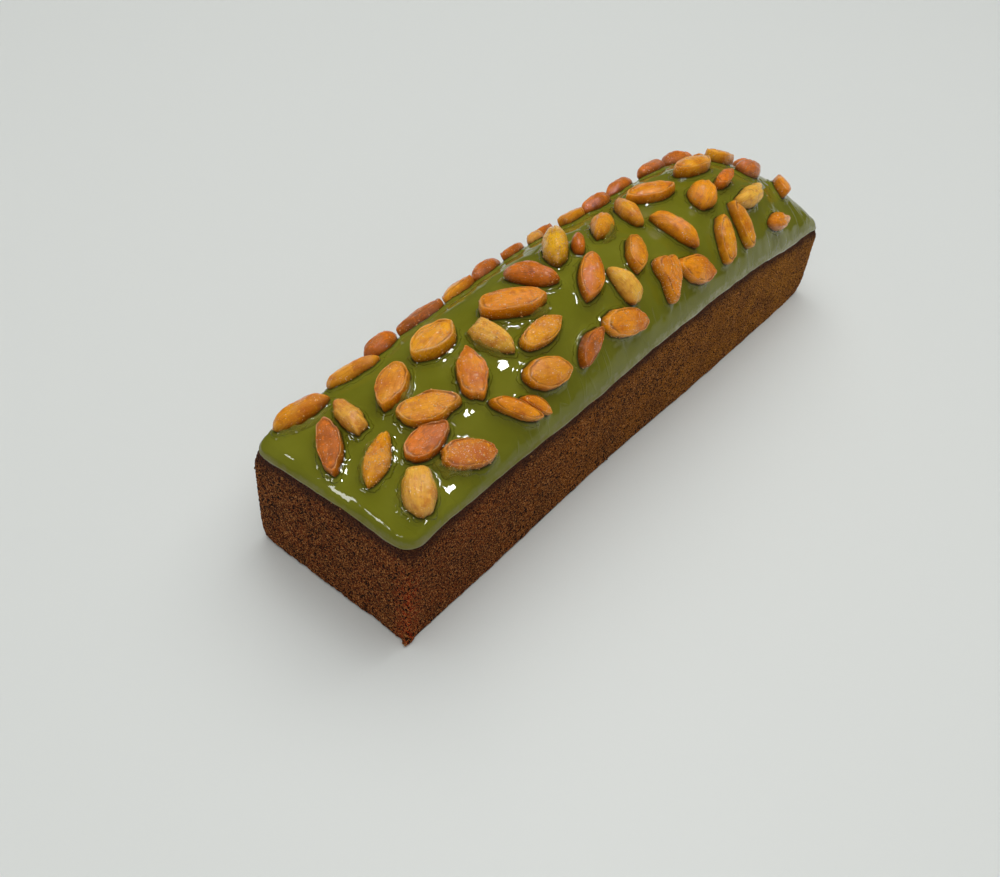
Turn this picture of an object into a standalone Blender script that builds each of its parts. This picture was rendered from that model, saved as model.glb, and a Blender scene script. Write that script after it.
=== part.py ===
"""Matcha loaf cake: a long tin-baked loaf with a green glaze and syrup-glazed almonds.

Metres, +Z up. The origin is at the middle of the flat base. X runs along the loaf, with the
near end at -X, and the long side that the almonds face is at -Y.
"""
import math

import bmesh
import bpy
from mathutils import Matrix, Vector

MM = 0.001

# Driving dimensions of the loaf and its glaze
LENGTH = 246.6 * MM
WIDTH = 60.4 * MM
PLAN_CORNER = 5.0 * MM
WALL_CORNER = 1.2 * MM
WALL_CORNER_DEPTH = 5.0 * MM
SIDE_BOW = 1.2 * MM
BOW_PLACE = -25.0 * MM
BOW_REACH = 45.0 * MM
BASE_ROUND = 0.8 * MM
BASE_CORNER_CUT = 1.0 * MM
BASE_CORNER_HEIGHT = 8.0 * MM
NEAR_CORNER_BURR = 0.4 * MM

GLAZE_THICKNESS = 1.5 * MM
HEM_THICKNESS = 0.7 * MM
HEM_DROP = 0.8 * MM
HEM_INSET = 0.4 * MM
HALF_LENGTH = LENGTH / 2 - HEM_INSET
HALF_WIDTH = WIDTH / 2 - HEM_INSET
SHOULDER_DROP = 1.4 * MM
EDGE_WIDTH = 3.5 * MM
EDGE_RISE = 2.0 * MM
GAP = 0.3 * MM
# The cake stands further from the glaze near the hem, by this share of the gap
EDGE_GAP = 4.0

# Height of the hem line, and rise of the dome over it, at places along the loaf (mm)
HEM = ((-123, 38), (-111, 39.5), (-75, 39.8), (-38, 39.6), (-5, 41), (35, 40.8), (61, 39.4),
       (80, 37.2), (95, 35), (112, 33.8), (123, 31.5))
DOME = ((-123, 0), (-112, 2), (-75, 14), (-25, 22), (25, 20), (72, 23), (100, 17), (115, 9.5), (123, 0))
DOME_FULLNESS = 2.4
DOME_ROUNDNESS = 0.85
# The near end's hem sags towards its far corner
HEM_SAG = 1.5 * MM
SAG_LENGTH = 60.0 * MM

# Grid of the loaf's top, and how far its lines crowd towards the edges
CELLS_ALONG = 42
CELLS_ACROSS = 17
CROWDING = 0.72
SIDE_LEVELS = (0.72, 0.45, 0.2)

# Almond forms: scale and height of each ring from the waist up, as shares of the almond's sizes
ALMOND_SEGMENTS = 12
ALMOND_RINGS = 6
FORMS = {
    "half": ((1.0, 0.55), (0.9, 1.0), (0.56, 0.9), (0.0, 0.86)),
    "back": ((1.0, 0.42), (0.82, 0.8), (0.44, 0.97), (0.0, 1.0)),
    "sliver": ((1.0, 0.5), (0.68, 0.9), (0.3, 1.0), (0.0, 1.0)),
    "broken": ((1.0, 0.6), (0.86, 1.0), (0.5, 0.93), (0.0, 1.0)),
}
SEAT_RINGS = (0.0, 0.46, 0.84)
SEAT_GAP = 0.42 * MM
POINTEDNESS = 0.3
BREAK_LOBES = 3
BREAK_DEPTH = 0.2
ALMOND_BEND = 0.5
DEEPEST_SEAT = 2.5 * MM

# Each almond: form, tone, place along and across (mm), direction of its narrow end (degrees),
# length, width, height (mm)
ALMONDS = (
    ("back", "amber", -108, 24.5, -20, 17, 9, 6),
    ("half", "rust", -113, 8, -130, 20, 7, 4.5),
    ("back", "tan", -103, 10.5, 78, 15, 6.5, 5),
    ("sliver", "amber", -108.5, -5.5, 24, 18, 7, 5),
    ("back", "tan", -110, -21.5, -132, 16, 9.5, 6.5),
    ("half", "rust", -97.5, -13, -5, 15, 8.5, 5),
    ("half", "amber", -92.5, -23, -35, 17, 8.5, 5),
    ("half", "amber", -90.5, -6.5, 143, 19, 9, 5),
    ("half", "amber", -90, 6.5, -158, 16, 9.5, 5),
    ("back", "amber", -89.5, 23, 147, 17, 6, 5),
    ("back", "rust", -76.5, 23.5, -12, 12, 8, 6),
    ("half", "amber", -71.5, 7.5, -3, 17, 10.5, 5.5),
    ("half", "orange", -74.5, -8.5, 53, 17, 9, 5),
    ("half", "orange", -72.5, -22.5, -60, 17, 4.5, 5),
    ("half", "orange", -66, -24.5, -66, 11, 3.5, 4.5),
    ("half", "rust", -59.5, 23, 170, 18, 7.5, 5),
    ("back", "tan", -61, -4.5, -87, 16, 8, 5.5),
    ("half", "amber", -56.5, -21, -26, 17, 9.5, 5),
    ("half", "amber", -49, -13, 0, 17, 7.5, 5),
    ("half", "orange", -47, -1, -37, 22, 9.5, 6),
    ("half", "amber", -42.5, 22.5, -10, 13, 7, 5),
    ("back", "rust", -28.5, 22.5, 0, 13, 8, 5.5),
    ("back", "rust", -33, 3, -67, 18, 8.5, 5.5),
    ("half", "rust", -37.5, -22.5, 35, 15, 6, 5),
    ("half", "orange", -20, -23.5, -32, 18.5, 9.5, 5),
    ("half", "orange", -21, -10, -142, 19, 8, 5),
    ("half", "rust", -15.5, 22, 8, 11, 6, 4.5),
    ("back", "tan", -12, -17, 97, 15, 7.5, 5.5),
    ("back", "rust", -11, 1.5, 40, 10, 4.5, 5),
    ("back", "olive", -16.5, 6, 38, 21, 8.5, 7),
    ("back", "tan", -5, 21, 10, 8, 6, 4.5),
    ("half", "amber", 1.5, -12, -136, 16, 7, 5),
    ("half", "rust", 3, 23.5, 0, 11, 5.5, 5),
    ("sliver", "amber", 4.5, 3, -155, 17, 7.5, 6),
    ("broken", "orange", 8.5, -21, 70, 15.5, 10, 5),
    ("half", "amber", 13.5, 19.5, 5, 12, 8, 5),
    ("back", "amber", 20.5, 3, 63, 17, 6.5, 5.5),
    ("half", "orange", 23, -23.5, -41, 18, 9.5, 5),
    ("back", "orange", 27, -12, -74, 19, 8, 5.5),
    ("back", "rust", 26.5, 18, 0, 14, 9, 6),
    ("half", "orange", 37.5, 4.5, -27, 20, 9, 5),
    ("back", "rust", 48, 22, 0, 15, 8, 5.5),
    ("half", "amber", 44.5, -22, 72, 18.5, 7, 5),
    ("back", "orange", 50, -8.5, 25, 14, 10.5, 6),
    ("half", "amber", 57.5, -21.5, 88, 18, 6, 5),
    ("back", "rust", 65, 19.5, -10, 14, 8, 5.5),
    ("half", "amber", 64, 3.5, -8, 20, 8.5, 5.5),
    ("back", "tan", 71, -16.5, 2, 19, 7.5, 6),
    ("back", "rust", 84, 19, -15, 15, 8.5, 6.5),
    ("half", "rust", 66, -8, 8, 14, 5, 5),
    ("back", "orange", 83, -25, -22, 15, 7, 5),
    ("half", "amber", 90, 5.5, -8, 18, 8, 5.5),
    ("back", "rust", 92, -6, -12, 17, 7, 5.5),
    ("half", "orange", 104.5, -15, 38, 14, 6, 5),
    ("half", "amber", 105, 20, 30, 14, 7.5, 5),
    ("back", "rust", 113, 4, 75, 13, 6.5, 5),
)

CRUST_COLOUR = (0.075, 0.030, 0.014)
GLAZE_COLOUR = (0.150, 0.160, 0.010)
TONES = {
    "amber": (0.50, 0.20, 0.030),
    "orange": (0.48, 0.15, 0.018),
    "rust": (0.33, 0.095, 0.017),
    "tan": (0.55, 0.30, 0.110),
    "olive": (0.42, 0.24, 0.015),
}


def clear_scene():
    for thing in list(bpy.data.objects):
        bpy.data.objects.remove(thing, do_unlink=True)


def material(name, colour, roughness):
    finish = bpy.data.materials.new(name)
    finish.use_nodes = True
    shader = finish.node_tree.nodes["Principled BSDF"]
    shader.inputs["Base Color"].default_value = (*colour, 1.0)
    shader.inputs["Roughness"].default_value = roughness
    shader.inputs["Metallic"].default_value = 0.0
    return finish


def smooth_through(stations, place):
    """Height in metres on a smooth curve through the stations, which are in millimetres."""
    at = min(max(place / MM, stations[0][0]), stations[-1][0])
    last = len(stations) - 1
    k = next(i for i in range(last) if at <= stations[i + 1][0])

    def slope(i):
        before = stations[max(i - 1, 0)]
        after = stations[min(i + 1, last)]
        return (after[1] - before[1]) / (after[0] - before[0])

    (x0, h0), (x1, h1) = stations[k], stations[k + 1]
    span = x1 - x0
    t = (at - x0) / span
    start = (2 * t**3 - 3 * t**2 + 1) * h0 + (t**3 - 2 * t**2 + t) * span * slope(k)
    end = (3 * t**2 - 2 * t**3) * h1 + (t**3 - t**2) * span * slope(k + 1)
    return (start + end) * MM


def inside_edge(x, y):
    """Distance inward from the loaf's rounded plan, negative outside it."""
    across = abs(y) - (HALF_WIDTH - PLAN_CORNER)
    along = abs(x) - (HALF_LENGTH - PLAN_CORNER)
    outside = math.hypot(max(along, 0.0), max(across, 0.0))
    return PLAN_CORNER - outside - min(max(along, across), 0.0)


def hem_height(x, y):
    past_end = min(max(1 - (x + HALF_LENGTH) / SAG_LENGTH, 0.0), 1.0)
    return smooth_through(HEM, x) - HEM_SAG * max(y / HALF_WIDTH, 0.0) * past_end


def top_height(x, y):
    """Height of the glaze's upper surface: hem line, rolled edge and dome."""
    depth = inside_edge(x, y)
    share = min(max(1 - depth / EDGE_WIDTH, 0.0), 1.0)
    roll = EDGE_RISE * math.sqrt(1 - share**2)
    v = min(abs(y) / HALF_WIDTH, 1.0)
    dome = max(smooth_through(DOME, x), 0.0) * (1 - v**DOME_FULLNESS) ** DOME_ROUNDNESS
    return hem_height(x, y) + roll + dome + 2 * min(depth, 0.0)


def top_normal(x, y):
    step = 0.5 * MM
    along = (top_height(x + step, y) - top_height(x - step, y)) / (2 * step)
    across = (top_height(x, y + step) - top_height(x, y - step)) / (2 * step)
    return Vector((-along, -across, 1.0)).normalized()


def crowd(t):
    """Moves the grid's even lines towards its edges."""
    return (1 - CROWDING) * t + CROWDING * math.sin(math.pi / 2 * t)


def half_width_at(x):
    over = abs(x) - (HALF_LENGTH - PLAN_CORNER)
    if over <= 0:
        return HALF_WIDTH
    return HALF_WIDTH - PLAN_CORNER + math.sqrt(max(PLAN_CORNER**2 - over**2, 0.0))


def border(bm):
    return [edge for edge in bm.edges if edge.is_boundary]


def extend_border(bm, place):
    """Extrudes the open border and moves each new point with place()."""
    made = bmesh.ops.extrude_edge_only(bm, edges=border(bm))["geom"]
    for vert in (item for item in made if isinstance(item, bmesh.types.BMVert)):
        vert.co = place(vert.co)


def drawn_in(co, height, inward):
    """The point at another height, drawn in towards the middle by a distance at the walls."""
    return Vector((co.x * (1 - inward / HALF_LENGTH), co.y * (1 - inward / HALF_WIDTH), height))


def top_sheet():
    """The glaze's outer surface as an open sheet, down to the hem."""
    bm = bmesh.new()
    bmesh.ops.create_grid(bm, x_segments=CELLS_ALONG, y_segments=CELLS_ACROSS, size=1.0)
    for vert in bm.verts:
        x = crowd(vert.co.x) * HALF_LENGTH
        y = crowd(vert.co.y) * half_width_at(x)
        vert.co = Vector((x, y, top_height(x, y)))
    extend_border(bm, lambda co: drawn_in(co, co.z - HEM_DROP, 0.0))
    bmesh.ops.recalc_face_normals(bm, faces=bm.faces)
    if sum(face.normal.z for face in bm.faces) < 0:
        bmesh.ops.reverse_faces(bm, faces=bm.faces)
    bm.normal_update()
    return bm


def thickness_share(co):
    """Glaze thickness as a share of its full value: thin at the hem, full past the rolled edge."""
    thin = HEM_THICKNESS / GLAZE_THICKNESS
    depth = min(max(inside_edge(co.x, co.y) / EDGE_WIDTH, 0.0), 1.0)
    return thin + (1 - thin) * depth


def finish_object(name, bm, finish, parent, matrix=Matrix()):
    mesh = bpy.data.meshes.new(name)
    bm.to_mesh(mesh)
    bm.free()
    mesh.shade_smooth()
    mesh.set_sharp_from_angle(angle=math.radians(50))
    mesh.materials.append(finish)
    thing = bpy.data.objects.new(name, mesh)
    parent.users_collection[0].objects.link(thing)
    thing.parent = parent
    thing.matrix_world = matrix
    return thing


def past_corner_centre(co):
    return abs(co.x) - (LENGTH / 2 - PLAN_CORNER), abs(co.y) - (WIDTH / 2 - PLAN_CORNER)


def on_wall(co, height):
    """The point of the crust's upright wall that lies straight out from a point inside it."""
    past_x, past_y = past_corner_centre(co)
    x, y = abs(co.x), abs(co.y)
    if past_x > 0 and past_y > 0:
        reach = PLAN_CORNER / math.hypot(past_x, past_y)
        x += past_x * (reach - 1)
        y += past_y * (reach - 1)
    elif past_x > past_y:
        x = LENGTH / 2
    else:
        y = WIDTH / 2
    return Vector((math.copysign(x, co.x), math.copysign(y, co.y), height))


def square_corners(bm):
    """Sharpens the upright corners below the hem, where the tin's corners shaped them."""
    arc_shift = (PLAN_CORNER - WALL_CORNER) * (1 - math.sqrt(0.5))
    for vert in bm.verts:
        past_x, past_y = past_corner_centre(vert.co)
        if past_x <= 0 or past_y <= 0:
            continue
        low = min(max((hem_height(vert.co.x, vert.co.y) - vert.co.z) / WALL_CORNER_DEPTH, 0.0), 1.0)
        push = arc_shift * low * math.sin(2 * math.atan2(past_y, past_x))
        vert.co.x = math.copysign(max(min(abs(vert.co.x) + push, LENGTH / 2), abs(vert.co.x)), vert.co.x)
        vert.co.y = math.copysign(max(min(abs(vert.co.y) + push, WIDTH / 2), abs(vert.co.y)), vert.co.y)


def bow_sides(bm):
    """Draws the long sides in a little towards the base, most where they shrank in the tin."""
    for vert in bm.verts:
        low = 1 - min(vert.co.z / (HEM[0][1] * MM), 1.0)
        reach = math.exp(-(((vert.co.x - BOW_PLACE) / BOW_REACH) ** 2))
        vert.co.y *= 1 - SIDE_BOW * low * reach / (WIDTH / 2)


def shape_base_corners(bm):
    """Cuts the low corners back, apart from the near one, which has a small baked burr."""
    for vert in bm.verts:
        low = max(1 - vert.co.z / BASE_CORNER_HEIGHT, 0.0) ** 2
        corner = (abs(vert.co.x) / (LENGTH / 2)) ** 24 * (abs(vert.co.y) / (WIDTH / 2)) ** 8
        near = vert.co.x < 0 and vert.co.y < 0
        amount = -NEAR_CORNER_BURR if near else BASE_CORNER_CUT
        vert.co = drawn_in(vert.co, vert.co.z, amount * corner * low)


def build_cake(parent):
    bm = top_sheet()
    depths = {}
    for vert in bm.verts:
        share = thickness_share(vert.co)
        depths[vert] = share * GLAZE_THICKNESS + GAP * (1 + EDGE_GAP * (1 - share)) * vert.calc_shell_factor()
    pushed = {vert: vert.co - vert.normal * depth for vert, depth in depths.items()}
    for vert, place in pushed.items():
        vert.co = place
    extend_border(bm, lambda co: on_wall(co, co.z - SHOULDER_DROP))
    for above, level in zip((1.0, *SIDE_LEVELS), SIDE_LEVELS):
        extend_border(bm, lambda co: drawn_in(co, co.z * level / above, 0.0))
    extend_border(bm, lambda co: drawn_in(co, BASE_ROUND, 0.0))
    extend_border(bm, lambda co: drawn_in(co, BASE_ROUND * 0.3, BASE_ROUND * 0.3))
    extend_border(bm, lambda co: drawn_in(co, 0.0, BASE_ROUND * 0.7))
    square_corners(bm)
    bow_sides(bm)
    shape_base_corners(bm)
    bmesh.ops.contextual_create(bm, geom=border(bm))
    bmesh.ops.triangulate(bm, faces=[face for face in bm.faces if len(face.verts) > 4])
    bmesh.ops.recalc_face_normals(bm, faces=bm.faces)
    return finish_object("cake", bm, material("crust", CRUST_COLOUR, 0.85), parent)


def build_glaze(parent):
    bm = top_sheet()
    shares = [thickness_share(vert.co) for vert in bm.verts]
    glaze = finish_object("glaze", bm, material("matcha_glaze", GLAZE_COLOUR, 0.12), parent)
    group = glaze.vertex_groups.new(name="thickness")
    for index, share in enumerate(shares):
        group.add([index], share, "REPLACE")
    shell = glaze.modifiers.new("Shell", "SOLIDIFY")
    shell.thickness = GLAZE_THICKNESS
    shell.offset = -1.0
    shell.vertex_group = group.name
    return glaze


def seat_frame(x, y, turn):
    """Location and rotation of an almond that lies on the glaze, with its long axis along turn."""
    normal = top_normal(x, y)
    heading = Vector((math.cos(turn), math.sin(turn), 0.0))
    along = (heading - normal * heading.dot(normal)).normalized()
    across = normal.cross(along)
    rotation = Matrix((along, across, normal)).transposed().to_4x4()
    return Matrix.Translation((x, y, top_height(x, y))) @ rotation


def glaze_level(frame, along, across):
    """Height of the glaze in an almond's own frame, at a place under the almond."""
    low, high = -3 * DEEPEST_SEAT, DEEPEST_SEAT
    for _ in range(24):
        middle = (low + high) / 2
        point = frame @ Vector((along, across, middle))
        if point.z > top_height(point.x, point.y):
            high = middle
        else:
            low = middle
    return max(high, -DEEPEST_SEAT)


def almond_outline(form, angle):
    if form == "broken":
        radius = 1 - BREAK_DEPTH * math.cos(BREAK_LOBES * angle)
        return radius * math.cos(angle), radius * math.sin(angle)
    return math.cos(angle), math.sin(angle) * (1 - POINTEDNESS * math.cos(angle))


def build_almond(name, form, tone, frame, length, width, height, parent):
    """A sphere whose lower rings are pressed onto the glaze and whose upper rings take the form."""
    bm = bmesh.new()
    bmesh.ops.create_uvsphere(bm, u_segments=ALMOND_SEGMENTS, v_segments=ALMOND_RINGS, radius=1.0)
    for vert in bm.verts:
        ring = round((math.asin(max(min(vert.co.z, 1.0), -1.0)) / math.pi + 0.5) * ALMOND_RINGS)
        along, across = almond_outline(form, math.atan2(vert.co.y, vert.co.x))
        seated = ring < len(SEAT_RINGS)
        scale, rise = (SEAT_RINGS[ring], 0.0) if seated else FORMS[form][ring - len(SEAT_RINGS)]
        along *= scale * length / 2
        across *= scale * width / 2
        level = glaze_level(frame, along, across)
        vert.co = Vector((along, across, level + SEAT_GAP if seated else level * ALMOND_BEND + rise * height))
    bmesh.ops.recalc_face_normals(bm, faces=bm.faces)
    return finish_object(name, bm, material(f"{name}_{tone}", TONES[tone], 0.3), parent, frame)


def build_almonds(parent):
    for number, (form, tone, x, y, turn, length, width, height) in enumerate(ALMONDS, 1):
        frame = seat_frame(x * MM, y * MM, math.radians(turn))
        build_almond(f"almond_{number:02d}", form, tone, frame, length * MM, width * MM, height * MM, parent)


def main():
    clear_scene()
    collection = bpy.data.collections.new("matcha_loaf_cake")
    bpy.context.scene.collection.children.link(collection)
    loaf = bpy.data.objects.new("matcha_loaf_cake", None)
    collection.objects.link(loaf)
    build_cake(loaf)
    build_glaze(loaf)
    build_almonds(loaf)


if __name__ == "__main__":
    main()
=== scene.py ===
"""Matcha loaf cake: crumb crust, poured green glaze and syrup-coated almonds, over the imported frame."""
import math

import bpy
import numpy as np
from bpy.props import FloatProperty, FloatVectorProperty, IntProperty, PointerProperty
from mathutils import Matrix, Vector


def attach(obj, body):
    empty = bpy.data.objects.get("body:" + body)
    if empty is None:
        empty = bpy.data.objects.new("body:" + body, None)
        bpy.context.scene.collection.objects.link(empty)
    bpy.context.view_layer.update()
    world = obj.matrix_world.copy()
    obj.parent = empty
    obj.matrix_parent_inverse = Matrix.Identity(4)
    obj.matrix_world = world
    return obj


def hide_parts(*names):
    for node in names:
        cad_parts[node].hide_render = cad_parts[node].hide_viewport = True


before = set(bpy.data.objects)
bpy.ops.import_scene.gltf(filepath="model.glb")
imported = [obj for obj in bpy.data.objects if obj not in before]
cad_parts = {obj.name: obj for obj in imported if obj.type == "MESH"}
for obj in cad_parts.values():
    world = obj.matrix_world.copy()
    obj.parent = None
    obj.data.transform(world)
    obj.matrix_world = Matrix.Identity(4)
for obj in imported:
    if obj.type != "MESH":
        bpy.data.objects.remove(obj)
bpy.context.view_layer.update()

bl_info = {
    "name": "Matcha Loaf Cake",
    "version": (1, 0, 0),
    "blender": (4, 5, 0),
    "location": "View3D > Sidebar > Loaf Cake",
    "description": "Dresses the frame of a glazed loaf cake with its crust, glaze, almonds and syrup",
    "category": "Object",
}

MM = 0.001


def linear(code):
    """An sRGB hex value as linear red, green and blue."""
    parts = [int(code[i:i + 2], 16) / 255 for i in (1, 3, 5)]
    return tuple(c / 12.92 if c <= 0.04045 else ((c + 0.055) / 1.055) ** 2.4 for c in parts)


# Form of the loaf in millimetres, as its solids have it
LENGTH = 246.6
WIDTH = 60.4
PLAN_CORNER = 5.0
WALL_CORNER = 1.2
WALL_CORNER_DEPTH = 5.0
SIDE_BOW = 1.2
BOW_PLACE = -25.0
BOW_REACH = 45.0
BASE_ROUND = 0.8
BASE_CORNER_CUT = 1.0
BASE_CORNER_HEIGHT = 8.0
NEAR_CORNER_BURR = 0.4
NEAR_CORNER_RAG = 0.9
HEM_INSET = 0.4
HALF_LENGTH = LENGTH / 2 - HEM_INSET
HALF_WIDTH = WIDTH / 2 - HEM_INSET
EDGE_WIDTH = 2.8
EDGE_RISE = 2.0
HEM_DROP = 0.8
HEM = ((-123, 38), (-111, 39.5), (-75, 39.8), (-38, 39.6), (-5, 41), (35, 40.8), (61, 39.4),
       (80, 37.2), (95, 35), (112, 33.8), (123, 31.5))
DOME = ((-123, 0), (-112, 2), (-75, 14), (-25, 22), (25, 20), (72, 23), (100, 17), (115, 9.5), (123, 0))
DOME_FULLNESS = 2.4
DOME_ROUNDNESS = 0.85
HEM_SAG = 1.5
SAG_LENGTH = 60.0
LIP_WAVE = 0.12
CORNER_CURL = 0.4
NEAR_ROLL = (1.3, 4.2)
NEAR_ROLL_REACH = 11.0
NEAR_ROLL_START = 2.0
NEAR_ROLL_SPREAD = 30.0
SHOULDER = 0.5
LID_DEPTH = 2.2
GLAZE_THICKNESS = 1.4
# The crust's rounded shoulder under the hem: how far in, how far up
SHOULDER_STEPS = ((0.12, 0.4), (0.45, 0.75), (1.2, 1.0))
# Waves of the hem: how many go round the cake, height
HEM_WAVES = ((9, 0.22), (17, 0.2), (31, 0.2), (53, 0.13), (97, 0.08))
# Section of the hem from the lip round to the underside: how far out, share of the drop, depth that
# the finish reads
HEM_SECTION = ((0.2, 0.25, 0.0), (0.34, 0.55, -0.2), (0.34, 0.85, -0.4), (0.2, 1.0, -0.6), (-0.1, 0.9, -0.7))
UNDERSIDE_DEPTH = 3.0

# Grids of the fine surfaces, about half a millimetre a cell
GLAZE_ALONG = 570
GLAZE_ACROSS = 144
GLAZE_CROWDING = 0.3
CRUST_LONG_SIDE = 400
CRUST_END = 100
CRUST_CORNER = 10
CRUST_LEVELS = 64
LID_SCALES = (0.985, 0.96, 0.9, 0.82, 0.7, 0.55, 0.4, 0.2)

# Each almond: form, tone, place along and across (mm), direction of its narrow end (degrees),
# length, width, height (mm)
ALMONDS = (
    ("back", "amber", -108, 24.5, -20, 17, 9, 6),
    ("half", "rust", -113, 8, -130, 20, 7, 4.5),
    ("back", "tan", -103, 10.5, 78, 15, 6.5, 5),
    ("sliver", "amber", -108.5, -5.5, 24, 18, 7, 5),
    ("back", "tan", -110, -21.5, -132, 16, 9.5, 6.5),
    ("half", "rust", -97.5, -13, -5, 15, 8.5, 5),
    ("half", "amber", -92.5, -23, -35, 17, 8.5, 5),
    ("half", "amber", -90.5, -6.5, 143, 19, 9, 5),
    ("half", "amber", -90, 6.5, -158, 16, 9.5, 5),
    ("back", "amber", -89.5, 23, 147, 17, 6, 5),
    ("back", "rust", -76.5, 23.5, -12, 12, 8, 6),
    ("half", "amber", -71.5, 7.5, -3, 17, 10.5, 5.5),
    ("half", "orange", -74.5, -8.5, 53, 17, 9, 5),
    ("half", "orange", -72.5, -22.5, -60, 17, 4.5, 5),
    ("half", "orange", -66, -24.5, -66, 11, 3.5, 4.5),
    ("half", "rust", -59.5, 23, 170, 18, 7.5, 5),
    ("back", "tan", -61, -4.5, -87, 16, 8, 5.5),
    ("half", "amber", -56.5, -21, -26, 17, 9.5, 5),
    ("half", "amber", -49, -13, 0, 17, 7.5, 5),
    ("half", "orange", -47, -1, -37, 22, 9.5, 6),
    ("half", "amber", -42.5, 22.5, -10, 13, 7, 5),
    ("back", "rust", -28.5, 22.5, 0, 13, 8, 5.5),
    ("back", "rust", -33, 3, -67, 18, 8.5, 5.5),
    ("half", "rust", -37.5, -22.5, 35, 15, 6, 5),
    ("half", "orange", -20, -23.5, -32, 18.5, 9.5, 5),
    ("half", "orange", -21, -10, -142, 19, 8, 5),
    ("half", "rust", -15.5, 22, 8, 11, 6, 4.5),
    ("back", "tan", -12, -17, 97, 15, 7.5, 5.5),
    ("back", "rust", -11, 1.5, 40, 10, 4.5, 5),
    ("back", "olive", -16.5, 6, 38, 21, 8.5, 7),
    ("back", "tan", -5, 21, 10, 8, 6, 4.5),
    ("half", "amber", 1.5, -12, -136, 16, 7, 5),
    ("half", "rust", 3, 23.5, 0, 11, 5.5, 5),
    ("sliver", "amber", 4.5, 3, -155, 17, 7.5, 6),
    ("broken", "orange", 8.5, -21, 70, 15.5, 10, 5),
    ("half", "amber", 13.5, 19.5, 5, 12, 8, 5),
    ("back", "amber", 20.5, 3, 63, 17, 6.5, 5.5),
    ("half", "orange", 23, -23.5, -41, 18, 9.5, 5),
    ("back", "orange", 27, -12, -74, 19, 8, 5.5),
    ("back", "rust", 26.5, 18, 0, 14, 9, 6),
    ("half", "orange", 37.5, 4.5, -27, 20, 9, 5),
    ("back", "rust", 48, 22, 0, 15, 8, 5.5),
    ("half", "amber", 44.5, -22, 72, 18.5, 7, 5),
    ("back", "orange", 50, -8.5, 25, 14, 10.5, 6),
    ("half", "amber", 57.5, -21.5, 88, 18, 6, 5),
    ("back", "rust", 65, 19.5, -10, 14, 8, 5.5),
    ("half", "amber", 64, 3.5, -8, 20, 8.5, 5.5),
    ("back", "tan", 71, -16.5, 2, 19, 7.5, 6),
    ("back", "rust", 84, 19, -15, 15, 8.5, 6.5),
    ("half", "rust", 66, -8, 8, 14, 5, 5),
    ("back", "orange", 83, -25, -22, 15, 7, 5),
    ("half", "amber", 90, 5.5, -8, 18, 8, 5.5),
    ("back", "rust", 92, -6, -12, 17, 7, 5.5),
    ("half", "orange", 104.5, -15, 38, 14, 6, 5),
    ("half", "amber", 105, 20, 30, 14, 7.5, 5),
    ("back", "rust", 113, 4, 75, 13, 6.5, 5),
)

TONES = ("amber", "orange", "rust", "tan", "olive")

# Profile of each almond form from the middle of its top out and down to its seat: how far round
# the profile, share of the outline's size, share of the height
PROFILES = {
    "half": (
        (0, 0, 0.9), (0.18, 0.22, 0.9), (0.36, 0.46, 0.88), (0.5, 0.65, 0.85), (0.6, 0.78, 0.81),
        (0.67, 0.865, 0.78), (0.73, 0.93, 0.77), (0.79, 0.975, 0.68), (0.85, 0.995, 0.5), (0.9, 1.0, 0.3),
        (0.95, 0.97, 0.06), (1, 0.88, -0.14)),
    "back": (
        (0, 0, 1.0), (0.2, 0.28, 0.985), (0.38, 0.52, 0.93), (0.55, 0.74, 0.82), (0.7, 0.9, 0.62),
        (0.8, 0.975, 0.44), (0.87, 1.0, 0.3), (0.94, 0.95, 0.08), (1, 0.86, -0.14)),
    "sliver": (
        (0, 0, 1.0), (0.2, 0.2, 0.985), (0.38, 0.4, 0.93), (0.55, 0.62, 0.82), (0.7, 0.84, 0.64),
        (0.8, 0.95, 0.48), (0.87, 1.0, 0.32), (0.94, 0.95, 0.08), (1, 0.86, -0.14)),
    "broken": (
        (0, 0, 0.95), (0.2, 0.28, 0.95), (0.38, 0.5, 0.94), (0.54, 0.72, 0.92), (0.66, 0.86, 0.86),
        (0.74, 0.93, 0.76), (0.8, 0.97, 0.62), (0.87, 1.0, 0.4), (0.94, 0.95, 0.1), (1, 0.86, -0.14)),
}

# Where round the profile the flat face ends, the cut rim stands and the seat begins
FACE_END = 0.68
RIM_PLACE = 0.73
SEAT_START = 0.87

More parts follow.
